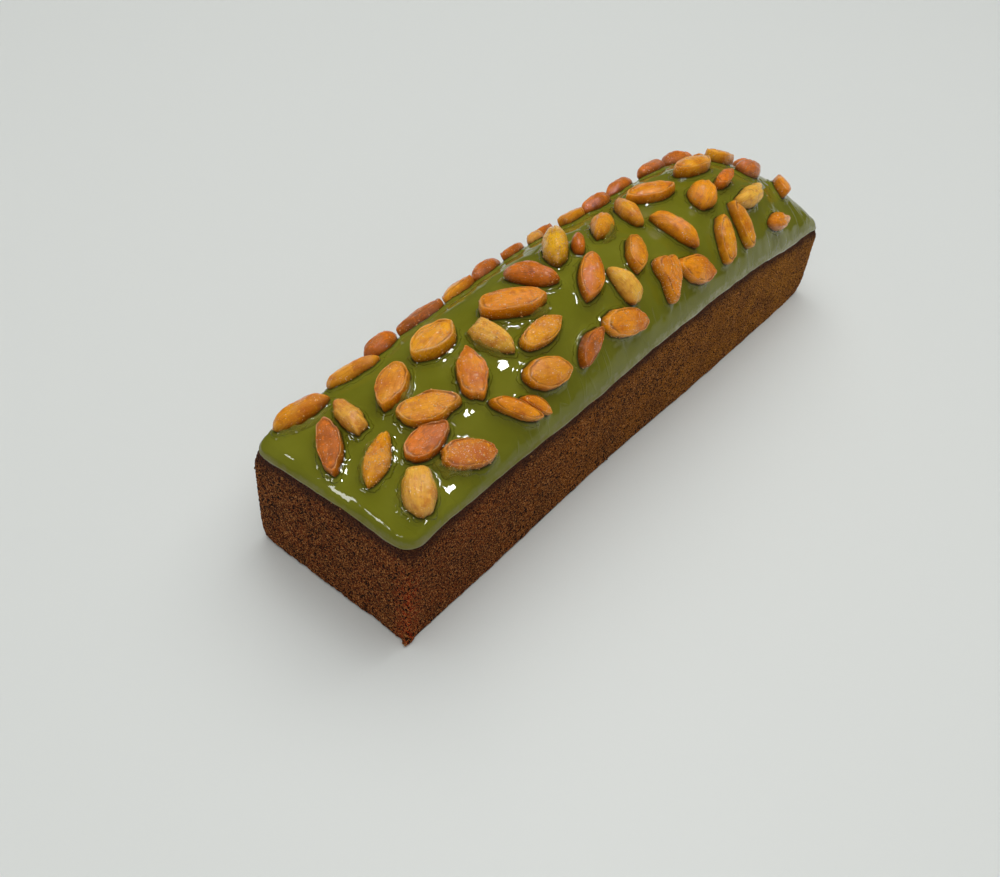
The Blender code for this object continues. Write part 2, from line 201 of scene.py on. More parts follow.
# How each almond departs from a plain oval: roundness of its wide and of its narrow end (below 1
# blunt, above 1 pointed), taper, swell of its middle (mm), height of its cut rim (mm), share kept of
# the wide end, lightness of its skin
PLAIN_LOOK = {"half": (1.0, 1.3, 0.12, 0.1, 0.3, 1, 0.5), "back": (0.95, 1.15, 0.12, 0, 0, 1, 0.5),
              "sliver": (1, 1.3, 0.25, 0, 0, 1, 0.6), "broken": (1, 1, 0, 0, 0, 1, 0.55)}
LOOKS = {
    1: (0.85, 1, 0.1, 0, 0, 1, 0.25), 2: (0.85, 1, 0.06, -0.1, 0.3, 1, 0.35),
    3: (0.6, 0.75, 0.02, 0, 0, 0.92, 0.5), 4: (1, 1.3, 0.25, 0, 0, 1, 0.6),
    5: (0.75, 1.2, 0.18, 0, 0, 0.92, 0.65), 6: (0.95, 1.25, 0.15, -0.2, 0.45, 1, 0.6),
    7: (0.85, 1.1, 0.15, 0.1, 0.1, 0.93, 0.08), 8: (1.15, 1.25, 0.05, -0.1, 0.55, 1, 0.55),
    9: (1, 1.2, 0.1, 0.1, 0.4, 1, 0.3), 10: (0.9, 1.1, 0.1, 0, 0, 1, 0.5),
    12: (0.95, 1.1, 0.05, 0.4, 0.5, 1, 0.7), 13: (0.85, 1.3, 0.1, 0.35, 0.05, 0.95, 0.4),
    14: (1.1, 1.3, 0.1, 0.1, 0.35, 1, 0.6), 16: (1, 1.2, 0.1, 0.2, 0.1, 1, 0.3),
    17: (0.6, 1.3, 0.1, 0, 0, 0.88, 0.8), 18: (0.85, 0.9, 0.03, 0.35, 0.15, 1, 0.4),
    19: (0.8, 1, 0.05, 0.4, 0, 1, 0.5), 20: (0.75, 1.2, 0.08, 0.35, 0.2, 1, 0.6),
    21: (1, 1.2, 0.1, 0.3, 0, 1, 0.35), 23: (1.1, 1.2, 0, 0, 0, 1, 0.6),
    24: (1.3, 1.4, 0, 0.1, 0.1, 1, 0.3), 25: (0.85, 1.05, 0.08, 0.3, 0.1, 1, 0.55),
    26: (0.85, 1, 0.02, 0.15, 0, 1, 0.35), 28: (1.1, 1.3, 0.2, 0, 0, 1, 0.95),
    29: (0.8, 1, 0.1, 0, 0, 0.9, 0.5), 30: (0.8, 0.95, 0.02, 0, 0, 1, 0.75),
    31: (0.9, 1, 0.1, 0, 0, 1, 0.5), 32: (0.95, 1.1, 0.05, 0.3, 0.1, 1, 0.4),
    36: (0.65, 0.8, 0, 0.2, 0.1, 0.9, 0.5), 38: (0.95, 1, 0.04, 0.2, 0, 1, 0.5),
    39: (0.9, 1.1, 0.05, 0, 0, 1, 1), 41: (1, 1.2, 0.05, 0.2, 0.2, 1, 0.6),
    43: (0.9, 1.2, 0.05, 0.35, 0, 1, 0.5), 44: (1, 1, 0, 0, 0, 1, 0.9),
    45: (0.9, 1.1, 0.05, 0.35, 0, 1, 0.45), 47: (1, 1.15, 0.05, 0.35, 0.1, 1, 0.5),
    48: (0.8, 1.1, 0.05, 0, 0, 1, 0.95), 50: (0.95, 1.2, 0.1, 0.1, 0.2, 1, 0.6),
    51: (0.9, 1.1, 0, 0, 0, 1, 0.5),
}
# Almonds whose cut rim is pale; on the others it is toasted
PALE_RIMS = {2: 1.0, 6: 1.0, 12: 0.8, 25: 0.7, 8: 0.6, 9: 0.6, 41: 0.6}
# Almonds thick with sugar
SUGARED = {4: 1.0, 7: 1.0, 17: 0.9, 19: 1.0, 20: 0.5, 25: 0.5, 30: 0.7, 35: 1.0, 8: 0.45, 12: 0.3}
# Clear syrup that stands against an almond: almond, where it starts and ends round it (degrees from
# the narrow end), how far it reaches out (mm), how high it climbs (share of the almond's height)
FILMS = ((4, 40, 160, 1.6, 0.8), (7, 170, 275, 2.2, 0.55), (34, 30, 150, 1.5, 0.6), (17, 200, 330, 1.2, 0.5),
         (5, 60, 330, 1.3, 0.25), (20, 290, 350, 1.5, 0.4), (1, 150, 330, 1.0, 0.25), (9, 20, 120, 1.2, 0.5))
FILM_STEPS = 40
# Section of a film: up against the almond, over and down to the glaze, back underneath; share of how
# far it reaches, share of how high it climbs
FILM_SECTION = ((-0.5, 0.95), (-0.1, 1.0), (0.3, 0.8), (0.65, 0.5), (0.95, 0.25), (1.05, -0.05), (0.6, -0.15),
                (-0.5, -0.15))
# The row along the far long side, seen edge on, is slimmer and longer than its solids
SIDE_ROW = 17
SIDE_ROW_SLIM = 0.84
SIDE_ROW_LONG = 1.07
ALMOND_SEGMENTS = 56
ALMOND_RINGS = 26
# How far an almond follows the glaze under it, and how far off its seat's plane that may lie (mm)
ALMOND_BEND = 0.5
SEAT_DEPTH = 2.5
# Unevenness of the outline: how many waves go round, size
ALMOND_UNEVEN = ((2, 0.02), (3, 0.03), (4, 0.022), (5, 0.02), (7, 0.014), (11, 0.01))
# Lightness added to every almond, and painted light added towards the far end, most on the farthest one
ALMONDS_PALER = 0.08
FAR_ALMONDS_PAINTED_LIGHT = 0.22
# The darkest and the lightest skin, as shares of the tone's linear red, green and blue
DARK_SKIN = (0.62, 0.49, 0.28)
LIGHT_SKIN = (1.75, 1.55, 0.65)
# How pointed each form's outline is
LENS = {"half": 0.4, "back": 0.3, "sliver": 0.6}
# The broken piece has three blunt corners
BREAK_LOBES = 3
BREAK_DEPTH = 0.2

# Seeds of what is uneven; an almond and a film add their own number
CRUST_SEED = 3
GLAZE_SEED = 11
ALMOND_SEED = 100
FILM_SEED = 500
RELIEF_SEED = 4.0
RIPPLE_SEED = 2.0

# Stage: half the floor's side (mm), the point that the lamps face (m), then the camera's turn round the
# cake, height and roll (degrees), its place (m), its lens and its sensor's width (mm)
FLOOR_REACH = 3000
LAMP_TARGET = (-0.03, 0, 0.03)
CAMERA_ANGLES = (-55.09, 42.18, 5.77)
CAMERA_PLACE = (-0.24859, -0.14184, 0.23178)
CAMERA_LENS = 36.009
SENSOR_WIDTH = 36


def through(stations, at):
    """Smooth curve through the stations, for an array of places."""
    xs, hs = (np.array(column, float) for column in zip(*stations))
    at = np.clip(at, xs[0], xs[-1])
    ends = np.r_[0, np.arange(len(xs) - 1)], np.r_[np.arange(1, len(xs)), len(xs) - 1]
    slopes = (hs[ends[1]] - hs[ends[0]]) / (xs[ends[1]] - xs[ends[0]])
    k = np.clip(np.searchsorted(xs, at, side="left") - 1, 0, len(xs) - 2)
    span = xs[k + 1] - xs[k]
    t = (at - xs[k]) / span
    start = (2 * t**3 - 3 * t**2 + 1) * hs[k] + (t**3 - 2 * t**2 + t) * span * slopes[k]
    return start + (3 * t**2 - 2 * t**3) * hs[k + 1] + (t**3 - t**2) * span * slopes[k + 1]


def inside_edge(x, y):
    """Distance inward from the glaze's rounded plan, negative outside it."""
    along = np.abs(x) - (HALF_LENGTH - PLAN_CORNER)
    across = np.abs(y) - (HALF_WIDTH - PLAN_CORNER)
    outside = np.hypot(np.maximum(along, 0), np.maximum(across, 0))
    return PLAN_CORNER - outside - np.minimum(np.maximum(along, across), 0)


def hem_height(x, y):
    """Height of the hem that the glaze ends in; across the near end it sags away from the near corner."""
    past_end = np.clip(1 - (x + HALF_LENGTH) / SAG_LENGTH, 0, 1)
    return through(HEM, x) - HEM_SAG * np.maximum(y / HALF_WIDTH, 0) * past_end


def edge_width(x, y):
    """How far in the glaze rolls over: wide at the near end's middle, tight at its corner."""
    near = np.exp(-(((x + HALF_LENGTH) / NEAR_ROLL_REACH) ** 2))
    across = np.clip((y + HALF_WIDTH - NEAR_ROLL_START) / NEAR_ROLL_SPREAD, 0, 1)
    roll = NEAR_ROLL[0] + (NEAR_ROLL[1] - NEAR_ROLL[0]) * across
    return EDGE_WIDTH + (roll - EDGE_WIDTH) * near


def top_height(x, y):
    """Height of the glazed top: the hem, the edge that rolls over and the dome."""
    depth = inside_edge(x, y)
    share = np.clip(1 - depth / edge_width(x, y), 0, 1)
    v = np.minimum(np.abs(y) / HALF_WIDTH, 1)
    dome = np.maximum(through(DOME, x), 0) * (1 - v**DOME_FULLNESS) ** DOME_ROUNDNESS
    return hem_height(x, y) + EDGE_RISE * np.sqrt(1 - share**2) + dome + 2 * np.minimum(depth, 0)


def waves(points, size, rng, count=9):
    """Smooth random relief between about -1 and 1, with bumps of the given size."""
    total = 0
    for _ in range(count):
        way = rng.normal(size=points.shape[-1])
        way *= rng.uniform(0.7, 1.4) * 2 * math.pi / (size * 2 * np.linalg.norm(way))
        total = total + np.sin(points @ way + rng.uniform(0, 2 * math.pi))
    return total / math.sqrt(count)


def under_top(x, y, depth):
    """Points at a depth under the glazed top."""
    return np.stack([x, y, top_height(x, y) - depth], -1)


def closed_skin(rings, start, end):
    """A skin over closed rings that follow one another, with a pole at each end: points, faces."""
    count, size = rings.shape[:2]
    row = np.arange(count - 1)[:, None] * size
    here = np.arange(size)[None]
    after = (here + 1) % size
    quads = np.stack([row + here, row + after, row + size + after, row + size + here], -1)
    faces = quads.reshape(-1, 4).tolist()
    first, last = count * size, (count - 1) * size
    faces += [(first, (j + 1) % size, j) for j in range(size)]
    faces += [(first + 1, last + j, last + (j + 1) % size) for j in range(size)]
    return np.concatenate([rings.reshape(-1, 3), [start, end]]), faces


def joined(parts):
    """One set of points and faces from several parts that each begin with their own."""
    start, faces = 0, []
    for points, own_faces, *_ in parts:
        faces += [tuple(start + i for i in face) for face in own_faces]
        start += len(points)
    return np.concatenate([part[0] for part in parts]), faces


def new_piece(name, points, faces, finish=None):
    """A smooth object of a mesh in metres, from points in millimetres."""
    mesh = bpy.data.meshes.new(name)
    mesh.from_pydata((np.asarray(points) * MM).tolist(), [], [list(face) for face in faces])
    mesh.validate()
    mesh.shade_smooth()
    if finish:
        mesh.materials.append(finish)
    thing = bpy.data.objects.new(name, mesh)
    bpy.context.scene.collection.objects.link(thing)
    return thing


def copy_of(thing, name):
    """A second object with a copy of the first one's mesh."""
    copy = bpy.data.objects.new(name, thing.data.copy())
    bpy.context.scene.collection.objects.link(copy)
    return copy


def note(thing, name, values):
    """Keeps a number for each point of the object's mesh under a name."""
    layer = thing.data.attributes.new(name, "FLOAT", "POINT")
    layer.data.foreach_set("value", np.asarray(values, np.float32))


def settle(thing):
    """Makes a plain mesh of what the object's modifiers give, and removes them."""
    deps = bpy.context.evaluated_depsgraph_get()
    mesh = bpy.data.meshes.new_from_object(
        thing.evaluated_get(deps), preserve_all_data_layers=True, depsgraph=deps)
    thing.modifiers.clear()
    thing.data = mesh
    mesh.shade_smooth()
    return thing


def belongs(thing, slot, *nodes):
    """The piece rides with the cake and stands for these nodes."""
    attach(thing, "root")
    if nodes:
        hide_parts(*nodes)


def add(tree, kind, inputs=None, **settings):
    """Adds a node with its settings, and sets or links its inputs by name or by place."""
    made = tree.nodes.new(kind)
    for name, value in settings.items():
        setattr(made, name, value)
    for key, value in (inputs or {}).items():
        if isinstance(value, bpy.types.Node):
            value = next(out for out in value.outputs if out.enabled)
        if isinstance(value, bpy.types.NodeSocket):
            tree.links.new(value, made.inputs[key])
        else:
            made.inputs[key].default_value = value
    return made


def new_material(name, **sockets):
    """A Principled material with uniform values on its own sockets: material, tree, shader."""
    finish = bpy.data.materials.new(name)
    finish.use_nodes = True
    shader = finish.node_tree.nodes["Principled BSDF"]
    for socket, value in sockets.items():
        shader.inputs[socket.replace("_", " ")].default_value = value
    return finish, finish.node_tree, shader


def new_geometry_tree(name, sockets):
    """A geometry tree with a mesh in, a mesh out and the named inputs: tree, group input."""
    tree = bpy.data.node_groups.new(name, "GeometryNodeTree")
    tree.interface.new_socket("Mesh", in_out="INPUT", socket_type="NodeSocketGeometry")
    tree.interface.new_socket("Mesh", in_out="OUTPUT", socket_type="NodeSocketGeometry")
    for socket, kind in sockets:
        tree.interface.new_socket(socket, in_out="INPUT", socket_type=f"NodeSocket{kind}")
    return tree, tree.nodes.new("NodeGroupInput")


def use_tree(thing, tree, values):
    """Puts the tree on the object with its inputs set, and settles the result."""
    step = thing.modifiers.new(tree.name, "NODES")
    step.node_group = tree
    for item in tree.interface.items_tree:
        if item.item_type == "SOCKET" and item.in_out == "INPUT" and item.name in values:
            step[item.identifier] = values[item.name]
    return settle(thing)


# Finishes

def crust_finish(settings):
    """Baked fine-crumb crust: matt brown with dark pores, lighter grains and a far side warmer and lighter,
    partly by painted light.
    """
    finish, tree, shader = new_material("Baked fine-crumb crust", Roughness=0.85, Specular_IOR_Level=0.1)
    place = add(tree, "ShaderNodeTexCoord").outputs["Object"]
    x, y, z = add(tree, "ShaderNodeSeparateXYZ", {0: place}).outputs
    # cloudy patches, red specks, the edge of the band under the hem and light grains: millimetres, detail,
    # roughness
    clouds, red_speck_noise, seep, grain = (
        add(tree, "ShaderNodeTexNoise", {"Vector": place, "Scale": 1 / (size * MM), "Detail": detail,
                                         "Roughness": rough})
        for size, detail, rough in ((8.333, 3, 0.6), (1.667, 2, 0.6), (3.846, 3, 0.6), (0.4348, 3, 0.65)))
    pores = add(tree, "ShaderNodeTexNoise", {"Vector": place, "Scale": 1 / (0.5882 * MM), "Detail": 2.5,
                                             "Roughness": 0.6, "Distortion": 0.3})
    # the crust grows warmer and lighter towards the far end: partly its own bake, partly painted light
    far_warmth_and_light = add(tree, "ShaderNodeMapRange", {0: x, 1: -100 * MM, 2: 90 * MM})
    cloud_share = add(tree, "ShaderNodeMapRange", {0: clouds, 1: 0.4, 2: 0.64, 4: 0.65})
    # redder skin along the near upright corner, in low red specks that are partly its bake and partly painted
    # glints
    along = add(tree, "ShaderNodeMath", {0: x, 1: LENGTH / 2 * MM}, operation="ADD")
    across = add(tree, "ShaderNodeMath", {0: y, 1: WIDTH / 2 * MM}, operation="ADD")
    away = add(tree, "ShaderNodeMath", {0: along, 1: across}, operation="ADD")
    corner = add(tree, "ShaderNodeMapRange", {0: away, 1: 6.5 * MM, 2: 1 * MM})
    low = add(tree, "ShaderNodeMapRange", {0: z, 1: 34 * MM, 2: 20 * MM})
    red_specks = add(tree, "ShaderNodeMapRange", {0: red_speck_noise, 1: 0.44, 2: 0.56, 3: 0.1})
    red_specks_low = add(tree, "ShaderNodeMath", {0: red_specks, 1: low}, operation="MULTIPLY")
    red_skin_and_glint_share = add(tree, "ShaderNodeMath", {0: corner, 1: red_specks_low}, operation="MULTIPLY")
    # darker band under the hem, 2 to 4 mm deep; the attribute is in millimetres
    below = add(tree, "ShaderNodeAttribute", attribute_name="below").outputs["Fac"]
    seeped = add(tree, "ShaderNodeMath", {0: seep, 1: -5.0, 2: below}, operation="MULTIPLY_ADD")
    hem_band_share = add(tree, "ShaderNodeMapRange", {0: seeped, 1: 4.2, 2: 0.2, 4: 0.8})
    # lighter grains and dark pores, both about half a millimetre
    grain_share = add(tree, "ShaderNodeMapRange", {0: grain, 1: 0.515, 2: 0.59, 4: 0.95})
    pore_share = add(tree, "ShaderNodeMapRange", {0: pores, 1: 0.485, 2: 0.445})
    tone = (*settings.near_colour, 1)
    for share, colour in ((far_warmth_and_light, settings.far_colour), (cloud_share, settings.patch_colour),
                          (red_skin_and_glint_share, settings.corner_red_and_glint_colour), (grain_share, settings.grain_colour),
                          (pore_share, settings.pore_colour), (hem_band_share, settings.hem_band_colour)):
        tone = add(tree, "ShaderNodeMix", {0: share, 6: tone, 7: (*colour, 1)}, data_type="RGBA").outputs[2]
    tree.links.new(tone, shader.inputs["Base Color"])
    height = add(tree, "ShaderNodeMath", {0: pores, 1: grain}, operation="ADD")
    bump = add(tree, "ShaderNodeBump", {"Height": height, "Strength": 1.0, "Distance": 0.7 * MM})
    tree.links.new(bump.outputs[0], shader.inputs["Normal"])
    return finish


def glaze_finish(settings):
    """Poured matcha glaze: deep olive green under a wet gloss, thin and greyish at the hem."""
    finish, tree, shader = new_material(
        "Poured matcha glaze", Roughness=0.5, IOR=1.45, Specular_IOR_Level=0.0, Coat_Weight=1.0,
        Coat_Roughness=0.03, Coat_IOR=1.36)
    place = add(tree, "ShaderNodeTexCoord").outputs["Object"]
    x, y, _ = add(tree, "ShaderNodeSeparateXYZ", {0: place}).outputs
    # distance from the nearest almond and depth in from the hem, both in millimetres
    reach, depth = (add(tree, "ShaderNodeAttribute", attribute_name=name).outputs["Fac"]
                    for name in ("reach", "depth"))
    # clouds, the rim's fray, the wander of the syrup's step and the skin: millimetres, detail, roughness
    clouds, fray, wander, skin = (
        add(tree, "ShaderNodeTexNoise", {"Vector": place, "Scale": 1 / (size * MM), "Detail": detail,
                                         "Roughness": rough})
        for size, detail, rough in ((14.29, 2, 0.5), (2.381, 3, 0.6), (2.632, 2, 0.5), (3.846, 1.5, 0.5)))
    cloud_share = add(tree, "ShaderNodeMapRange", {0: clouds, 1: 0.35, 2: 0.7})
    # darker against each almond: deeper syrup there, and painted shade where the almond meets the glaze
    contact = add(tree, "ShaderNodeMapRange", {0: reach, 1: 0.9, 2: 0.15, 4: 0.9},
                  interpolation_type="SMOOTHSTEP")
    green = (*settings.colour, 1)
    for share, colour in ((cloud_share, settings.light_colour), (contact, settings.pool_and_shade_colour)):
        green = add(tree, "ShaderNodeMix", {0: share, 6: green, 7: (*colour, 1)}, data_type="RGBA").outputs[2]
    # the crust shows through the thin rim, which is paler along the middle and far part of the long side
    frayed = add(tree, "ShaderNodeMath", {0: fray, 1: 1.2, 2: depth}, operation="MULTIPLY_ADD")
    thin = add(tree, "ShaderNodeMapRange", {0: frayed, 1: 0.95, 2: 0.25, 4: 0.8})
    pale_across = add(tree, "ShaderNodeMapRange", {0: y, 1: -28.5 * MM, 2: -29.5 * MM})
    pale_along = add(tree, "ShaderNodeMapRange", {0: x, 1: -50 * MM, 2: 0.0, 4: 0.9})
    pale_share = add(tree, "ShaderNodeMath", {0: pale_across, 1: pale_along}, operation="MULTIPLY")
    rim_tone = add(tree, "ShaderNodeMix", {0: pale_share, 6: (*settings.rim_colour, 1),
                                           7: (*settings.pale_rim_colour, 1)}, data_type="RGBA")
    rim = add(tree, "ShaderNodeMix", {0: thin, 6: green, 7: rim_tone.outputs[2]}, data_type="RGBA")
    tree.links.new(rim.outputs[2], shader.inputs["Base Color"])
    # a clear step of syrup runs round each almond about a millimetre off; heights are in millimetres
    wandered = add(tree, "ShaderNodeMath", {0: wander, 1: 2.4, 2: reach}, operation="MULTIPLY_ADD")
    step = add(tree, "ShaderNodeMapRange", {0: wandered, 1: 2.6, 2: 2.25, 4: 0.4},
               interpolation_type="SMOOTHSTEP")
    # fine runs down the long side, about 7 mm apart and 33 mm long
    side = add(tree, "ShaderNodeMapRange", {0: y, 1: -19 * MM, 2: -25 * MM, 4: 0.06})
    stretch = add(tree, "ShaderNodeVectorMath", {0: place, 1: (150.0, 30.0, 30.0)}, operation="MULTIPLY")
    runs = add(tree, "ShaderNodeTexNoise", {"Vector": stretch, "Scale": 1.0, "Detail": 1.0,
                                            "Roughness": 0.5})
    middle = add(tree, "ShaderNodeMath", {0: runs, 1: 0.5}, operation="SUBTRACT")
    away = add(tree, "ShaderNodeMath", {0: middle}, operation="ABSOLUTE")
    line = add(tree, "ShaderNodeMapRange", {0: away, 1: 0.02, 2: 0.0}, interpolation_type="SMOOTHSTEP")
    run_height = add(tree, "ShaderNodeMath", {0: line, 1: side, 2: step}, operation="MULTIPLY_ADD")
    height = add(tree, "ShaderNodeMath", {0: skin, 1: 0.12, 2: run_height}, operation="MULTIPLY_ADD")
    bump = add(tree, "ShaderNodeBump", {"Height": height, "Strength": 1.0, "Distance": MM})
    for socket in ("Normal", "Coat Normal"):
        tree.links.new(bump.outputs[0], shader.inputs[socket])
    return finish


def almond_finish(name, tone, settings):
    """Roasted almond under syrup: streaked, with specks of sugar and painted glints, a pale cut rim and a
    caramel foot darkened by painted shade.
    """
    finish, tree, shader = new_material(
        name, Roughness=0.45, IOR=1.45, Specular_IOR_Level=0.1, Coat_Weight=1.0, Coat_Roughness=0.04,
        Coat_IOR=1.4, Subsurface_Weight=0.15, Subsurface_Scale=0.8 * MM, Subsurface_Radius=(1.0, 0.6, 0.3))
    place = add(tree, "ShaderNodeTexCoord").outputs["Object"]
    shade, face, rim, bed, groove, sugar = (
        add(tree, "ShaderNodeAttribute", attribute_name=value).outputs["Fac"]
        for value in ("shade", "face", "rim", "bed", "groove", "sugar"))
    # toasted clouds, pale flecks, where grains gather, grains, fine skin and lumps of syrup:
    # millimetres, detail, roughness
    clouds, flecks, flock, sparkle, fine, lumps = (
        add(tree, "ShaderNodeTexNoise", {"Vector": place, "Scale": 1 / (size * MM), "Detail": detail,
                                         "Roughness": rough})
        for size, detail, rough in ((3.03, 3, 0.6), (1.111, 2, 0.6), (2.381, 1.5, 0.5), (0.3846, 1, 0.5),
                                    (0.9091, 2, 0.6), (0.7692, 1.5, 0.5)))
    toast = add(tree, "ShaderNodeMapRange", {0: clouds, 1: 0.5, 2: 0.7, 4: 0.7})
    # lengthwise streaks of the skin, 4.5 mm long and 0.4 mm wide, on a map in millimetres
    skin_map = add(tree, "ShaderNodeUVMap", uv_map="skin")
    stretch = add(tree, "ShaderNodeMapping", {"Vector": skin_map, "Scale": (0.22, 2.4, 1.0)})
    streaks = add(tree, "ShaderNodeTexNoise", {"Vector": stretch, "Scale": 1.0, "Detail": 3.0,
                                               "Roughness": 0.6})
    streak = add(tree, "ShaderNodeMapRange", {0: streaks, 1: 0.5, 2: 0.7, 4: 0.6})
    fleck = add(tree, "ShaderNodeMapRange", {0: flecks, 1: 0.57, 2: 0.68, 4: 0.6})
    # a dark line inside the cut rim and the pale rim itself
    dark_line = add(tree, "ShaderNodeMath", {0: groove, 1: 0.7}, operation="MULTIPLY")
    pale_rim = add(tree, "ShaderNodeMath", {0: rim, 1: 0.85}, operation="MULTIPLY")
    # grains gather in places and along the cut rim, and the rest of the syrup is smooth
    gathered = add(tree, "ShaderNodeMapRange", {0: flock, 1: 0.5, 2: 0.62, 3: 0.35})
    on_rim = add(tree, "ShaderNodeMath", {0: gathered, 1: rim}, operation="MAXIMUM")
    grained = add(tree, "ShaderNodeMath", {0: on_rim, 1: sugar}, operation="MAXIMUM")
    crowded = add(tree, "ShaderNodeMath", {0: grained, 1: 0.1, 2: sparkle}, operation="MULTIPLY_ADD")
    # pale specks in the colour: sugar grains and painted glints
    sugar_and_glint_speck = add(tree, "ShaderNodeMapRange", {0: crowded, 1: 0.77, 2: 0.8, 4: 0.8})
    dark = tuple(c * k for c, k in zip(tone, DARK_SKIN))
    light = tuple(min(c * k, 1) for c, k in zip(tone, LIGHT_SKIN))
    skin = (*dark, 1)
    # the caramel foot carries painted contact shade; the pale specks are sugar and painted glints
    for share, colour in ((shade, light), (toast, dark), (streak, dark), (fleck, light),
                          (dark_line, settings.caramel_and_shade_colour), (pale_rim, settings.rim_colour),
                          (bed, settings.caramel_and_shade_colour), (sugar_and_glint_speck, settings.sugar_and_glint_colour)):
        skin = add(tree, "ShaderNodeMix", {0: share, 6: skin, 7: (*colour, 1)}, data_type="RGBA").outputs[2]
    tree.links.new(skin, shader.inputs["Base Color"])
    wrinkle = add(tree, "ShaderNodeMapRange", {0: face, 3: 0.9, 4: 0.25})
    ridges = add(tree, "ShaderNodeMath", {0: streaks, 1: wrinkle}, operation="MULTIPLY")
    height = add(tree, "ShaderNodeMath", {0: fine, 1: 0.5, 2: ridges}, operation="MULTIPLY_ADD")
    bump = add(tree, "ShaderNodeBump", {"Height": height, "Strength": 0.6, "Distance": 0.6 * MM})
    tree.links.new(bump.outputs[0], shader.inputs["Normal"])
    # the syrup over it lies in beads of about 0.8 mm and finer grains of sugar; heights in millimetres
    beads = add(tree, "ShaderNodeTexVoronoi", {"Vector": place, "Scale": 1 / (1.25 * MM), "Smoothness": 0.35},
                feature="SMOOTH_F1")
    bead_height = add(tree, "ShaderNodeMapRange", {0: sugar, 3: -0.17, 4: -0.5})
    beaded = add(tree, "ShaderNodeMath", {0: beads, 1: bead_height}, operation="MULTIPLY")
    lumped = add(tree, "ShaderNodeMath", {0: lumps, 1: grained}, operation="MULTIPLY")
    sparkled = add(tree, "ShaderNodeMath", {0: sparkle, 1: grained}, operation="MULTIPLY")
    sparkle_height = add(tree, "ShaderNodeMath", {0: sparkled, 1: 0.3, 2: beaded}, operation="MULTIPLY_ADD")
    wet_height = add(tree, "ShaderNodeMath", {0: lumped, 1: 0.5, 2: sparkle_height}, operation="MULTIPLY_ADD")
    wet = add(tree, "ShaderNodeBump", {"Height": wet_height, "Strength": 1.0, "Distance": MM})
    tree.links.new(wet.outputs[0], shader.inputs["Coat Normal"])
    return finish


def syrup_finish():
    """Sugar syrup set in beads: pale gold and shiny, so each one catches the lamp."""
    finish, _, _ = new_material(
        "Set sugar syrup", Base_Color=(*linear("#e0a458"), 1), Roughness=0.25, IOR=1.45, Coat_Weight=1.0,
        Coat_Roughness=0.03)
    return finish


def film_finish():
    """Clear green-gold syrup film: lets the glaze show through and glints at its edge."""
    finish, tree, shader = new_material(
        "Clear green-gold syrup", Base_Color=(*linear("#a39a35"), 1), Roughness=0.4, Specular_IOR_Level=0.1,
        Coat_Weight=1.0, Coat_Roughness=0.03, Alpha=0.4)
    place = add(tree, "ShaderNodeTexCoord").outputs["Object"]
    crinkle = add(tree, "ShaderNodeTexNoise", {"Vector": place, "Scale": 1 / (1.111 * MM), "Detail": 2.0,
                                               "Roughness": 0.6})
    bump = add(tree, "ShaderNodeBump", {"Height": crinkle, "Strength": 0.8, "Distance": 0.6 * MM})
    for socket in ("Normal", "Coat Normal"):
        tree.links.new(bump.outputs[0], shader.inputs[socket])
    return finish


def crumb_finish(settings):
    """Loose cake crumb: the crust's brown, a little lighter, quite matt."""
    finish, tree, shader = new_material("Loose cake crumb", Roughness=0.9, Specular_IOR_Level=0.2)
    place = add(tree, "ShaderNodeTexCoord").outputs["Object"]
    grain = add(tree, "ShaderNodeTexNoise", {"Vector": place, "Scale": 1 / (1.111 * MM), "Detail": 2.0,
                                             "Roughness": 0.6})
    share = add(tree, "ShaderNodeMapRange", {0: grain, 1: 0.4, 2: 0.65})
    tone = add(tree, "ShaderNodeMix", {0: share, 6: (*settings.pore_colour, 1),
                                       7: (*settings.grain_colour, 1)}, data_type="RGBA")
    tree.links.new(tone.outputs[2], shader.inputs["Base Color"])
    return finish


# Geometry trees

def crumb_relief_tree():
    """Sinks pores into a surface and gives it broad swells."""
    tree, given = new_geometry_tree("Crumb relief", (
        ("Pore Size", "Float"), ("Pore Depth", "Float"), ("Swell Size", "Float"), ("Swell Height", "Float"),
        ("Seed", "Float"), ("Material", "Material")))
    value = given.outputs
    pore_scale = add(tree, "ShaderNodeMath", {0: 1.0, 1: value["Pore Size"]}, operation="DIVIDE")
    swell_scale = add(tree, "ShaderNodeMath", {0: 1.0, 1: value["Swell Size"]}, operation="DIVIDE")
    pores = add(tree, "ShaderNodeTexNoise", {"W": value["Seed"], "Scale": pore_scale, "Detail": 2.0,
                                             "Roughness": 0.6}, noise_dimensions="4D")
    pit = add(tree, "ShaderNodeMapRange", {0: pores, 1: 0.56, 2: 0.34})
    sunk = add(tree, "ShaderNodeMath", {0: pit, 1: value["Pore Depth"]}, operation="MULTIPLY")
    swell = add(tree, "ShaderNodeTexNoise", {"W": value["Seed"], "Scale": swell_scale, "Detail": 2.0},
                noise_dimensions="4D")
    swell_middle = add(tree, "ShaderNodeMath", {0: swell, 1: 0.6}, operation="SUBTRACT")
    swollen = add(tree, "ShaderNodeMath", {0: swell_middle, 1: value["Swell Height"]}, operation="MULTIPLY")
    rise = add(tree, "ShaderNodeMath", {0: swollen, 1: sunk}, operation="SUBTRACT")
    normal = add(tree, "GeometryNodeInputNormal")
    # the base stays flat on what it stands on
    height = add(tree, "ShaderNodeSeparateXYZ", {0: add(tree, "GeometryNodeInputPosition")})
    above = add(tree, "FunctionNodeCompare", {"A": height.outputs[2], "B": 0.0002}, operation="GREATER_THAN")
    offset = add(tree, "ShaderNodeVectorMath", {0: normal, "Scale": rise}, operation="SCALE")
    moved = add(tree, "GeometryNodeSetPosition", {"Geometry": value["Mesh"], "Selection": above,
                                                  "Offset": offset})
    finished = add(tree, "GeometryNodeSetMaterial", {"Geometry": moved, "Material": value["Material"]})
    add(tree, "NodeGroupOutput", {0: finished})
    return tree


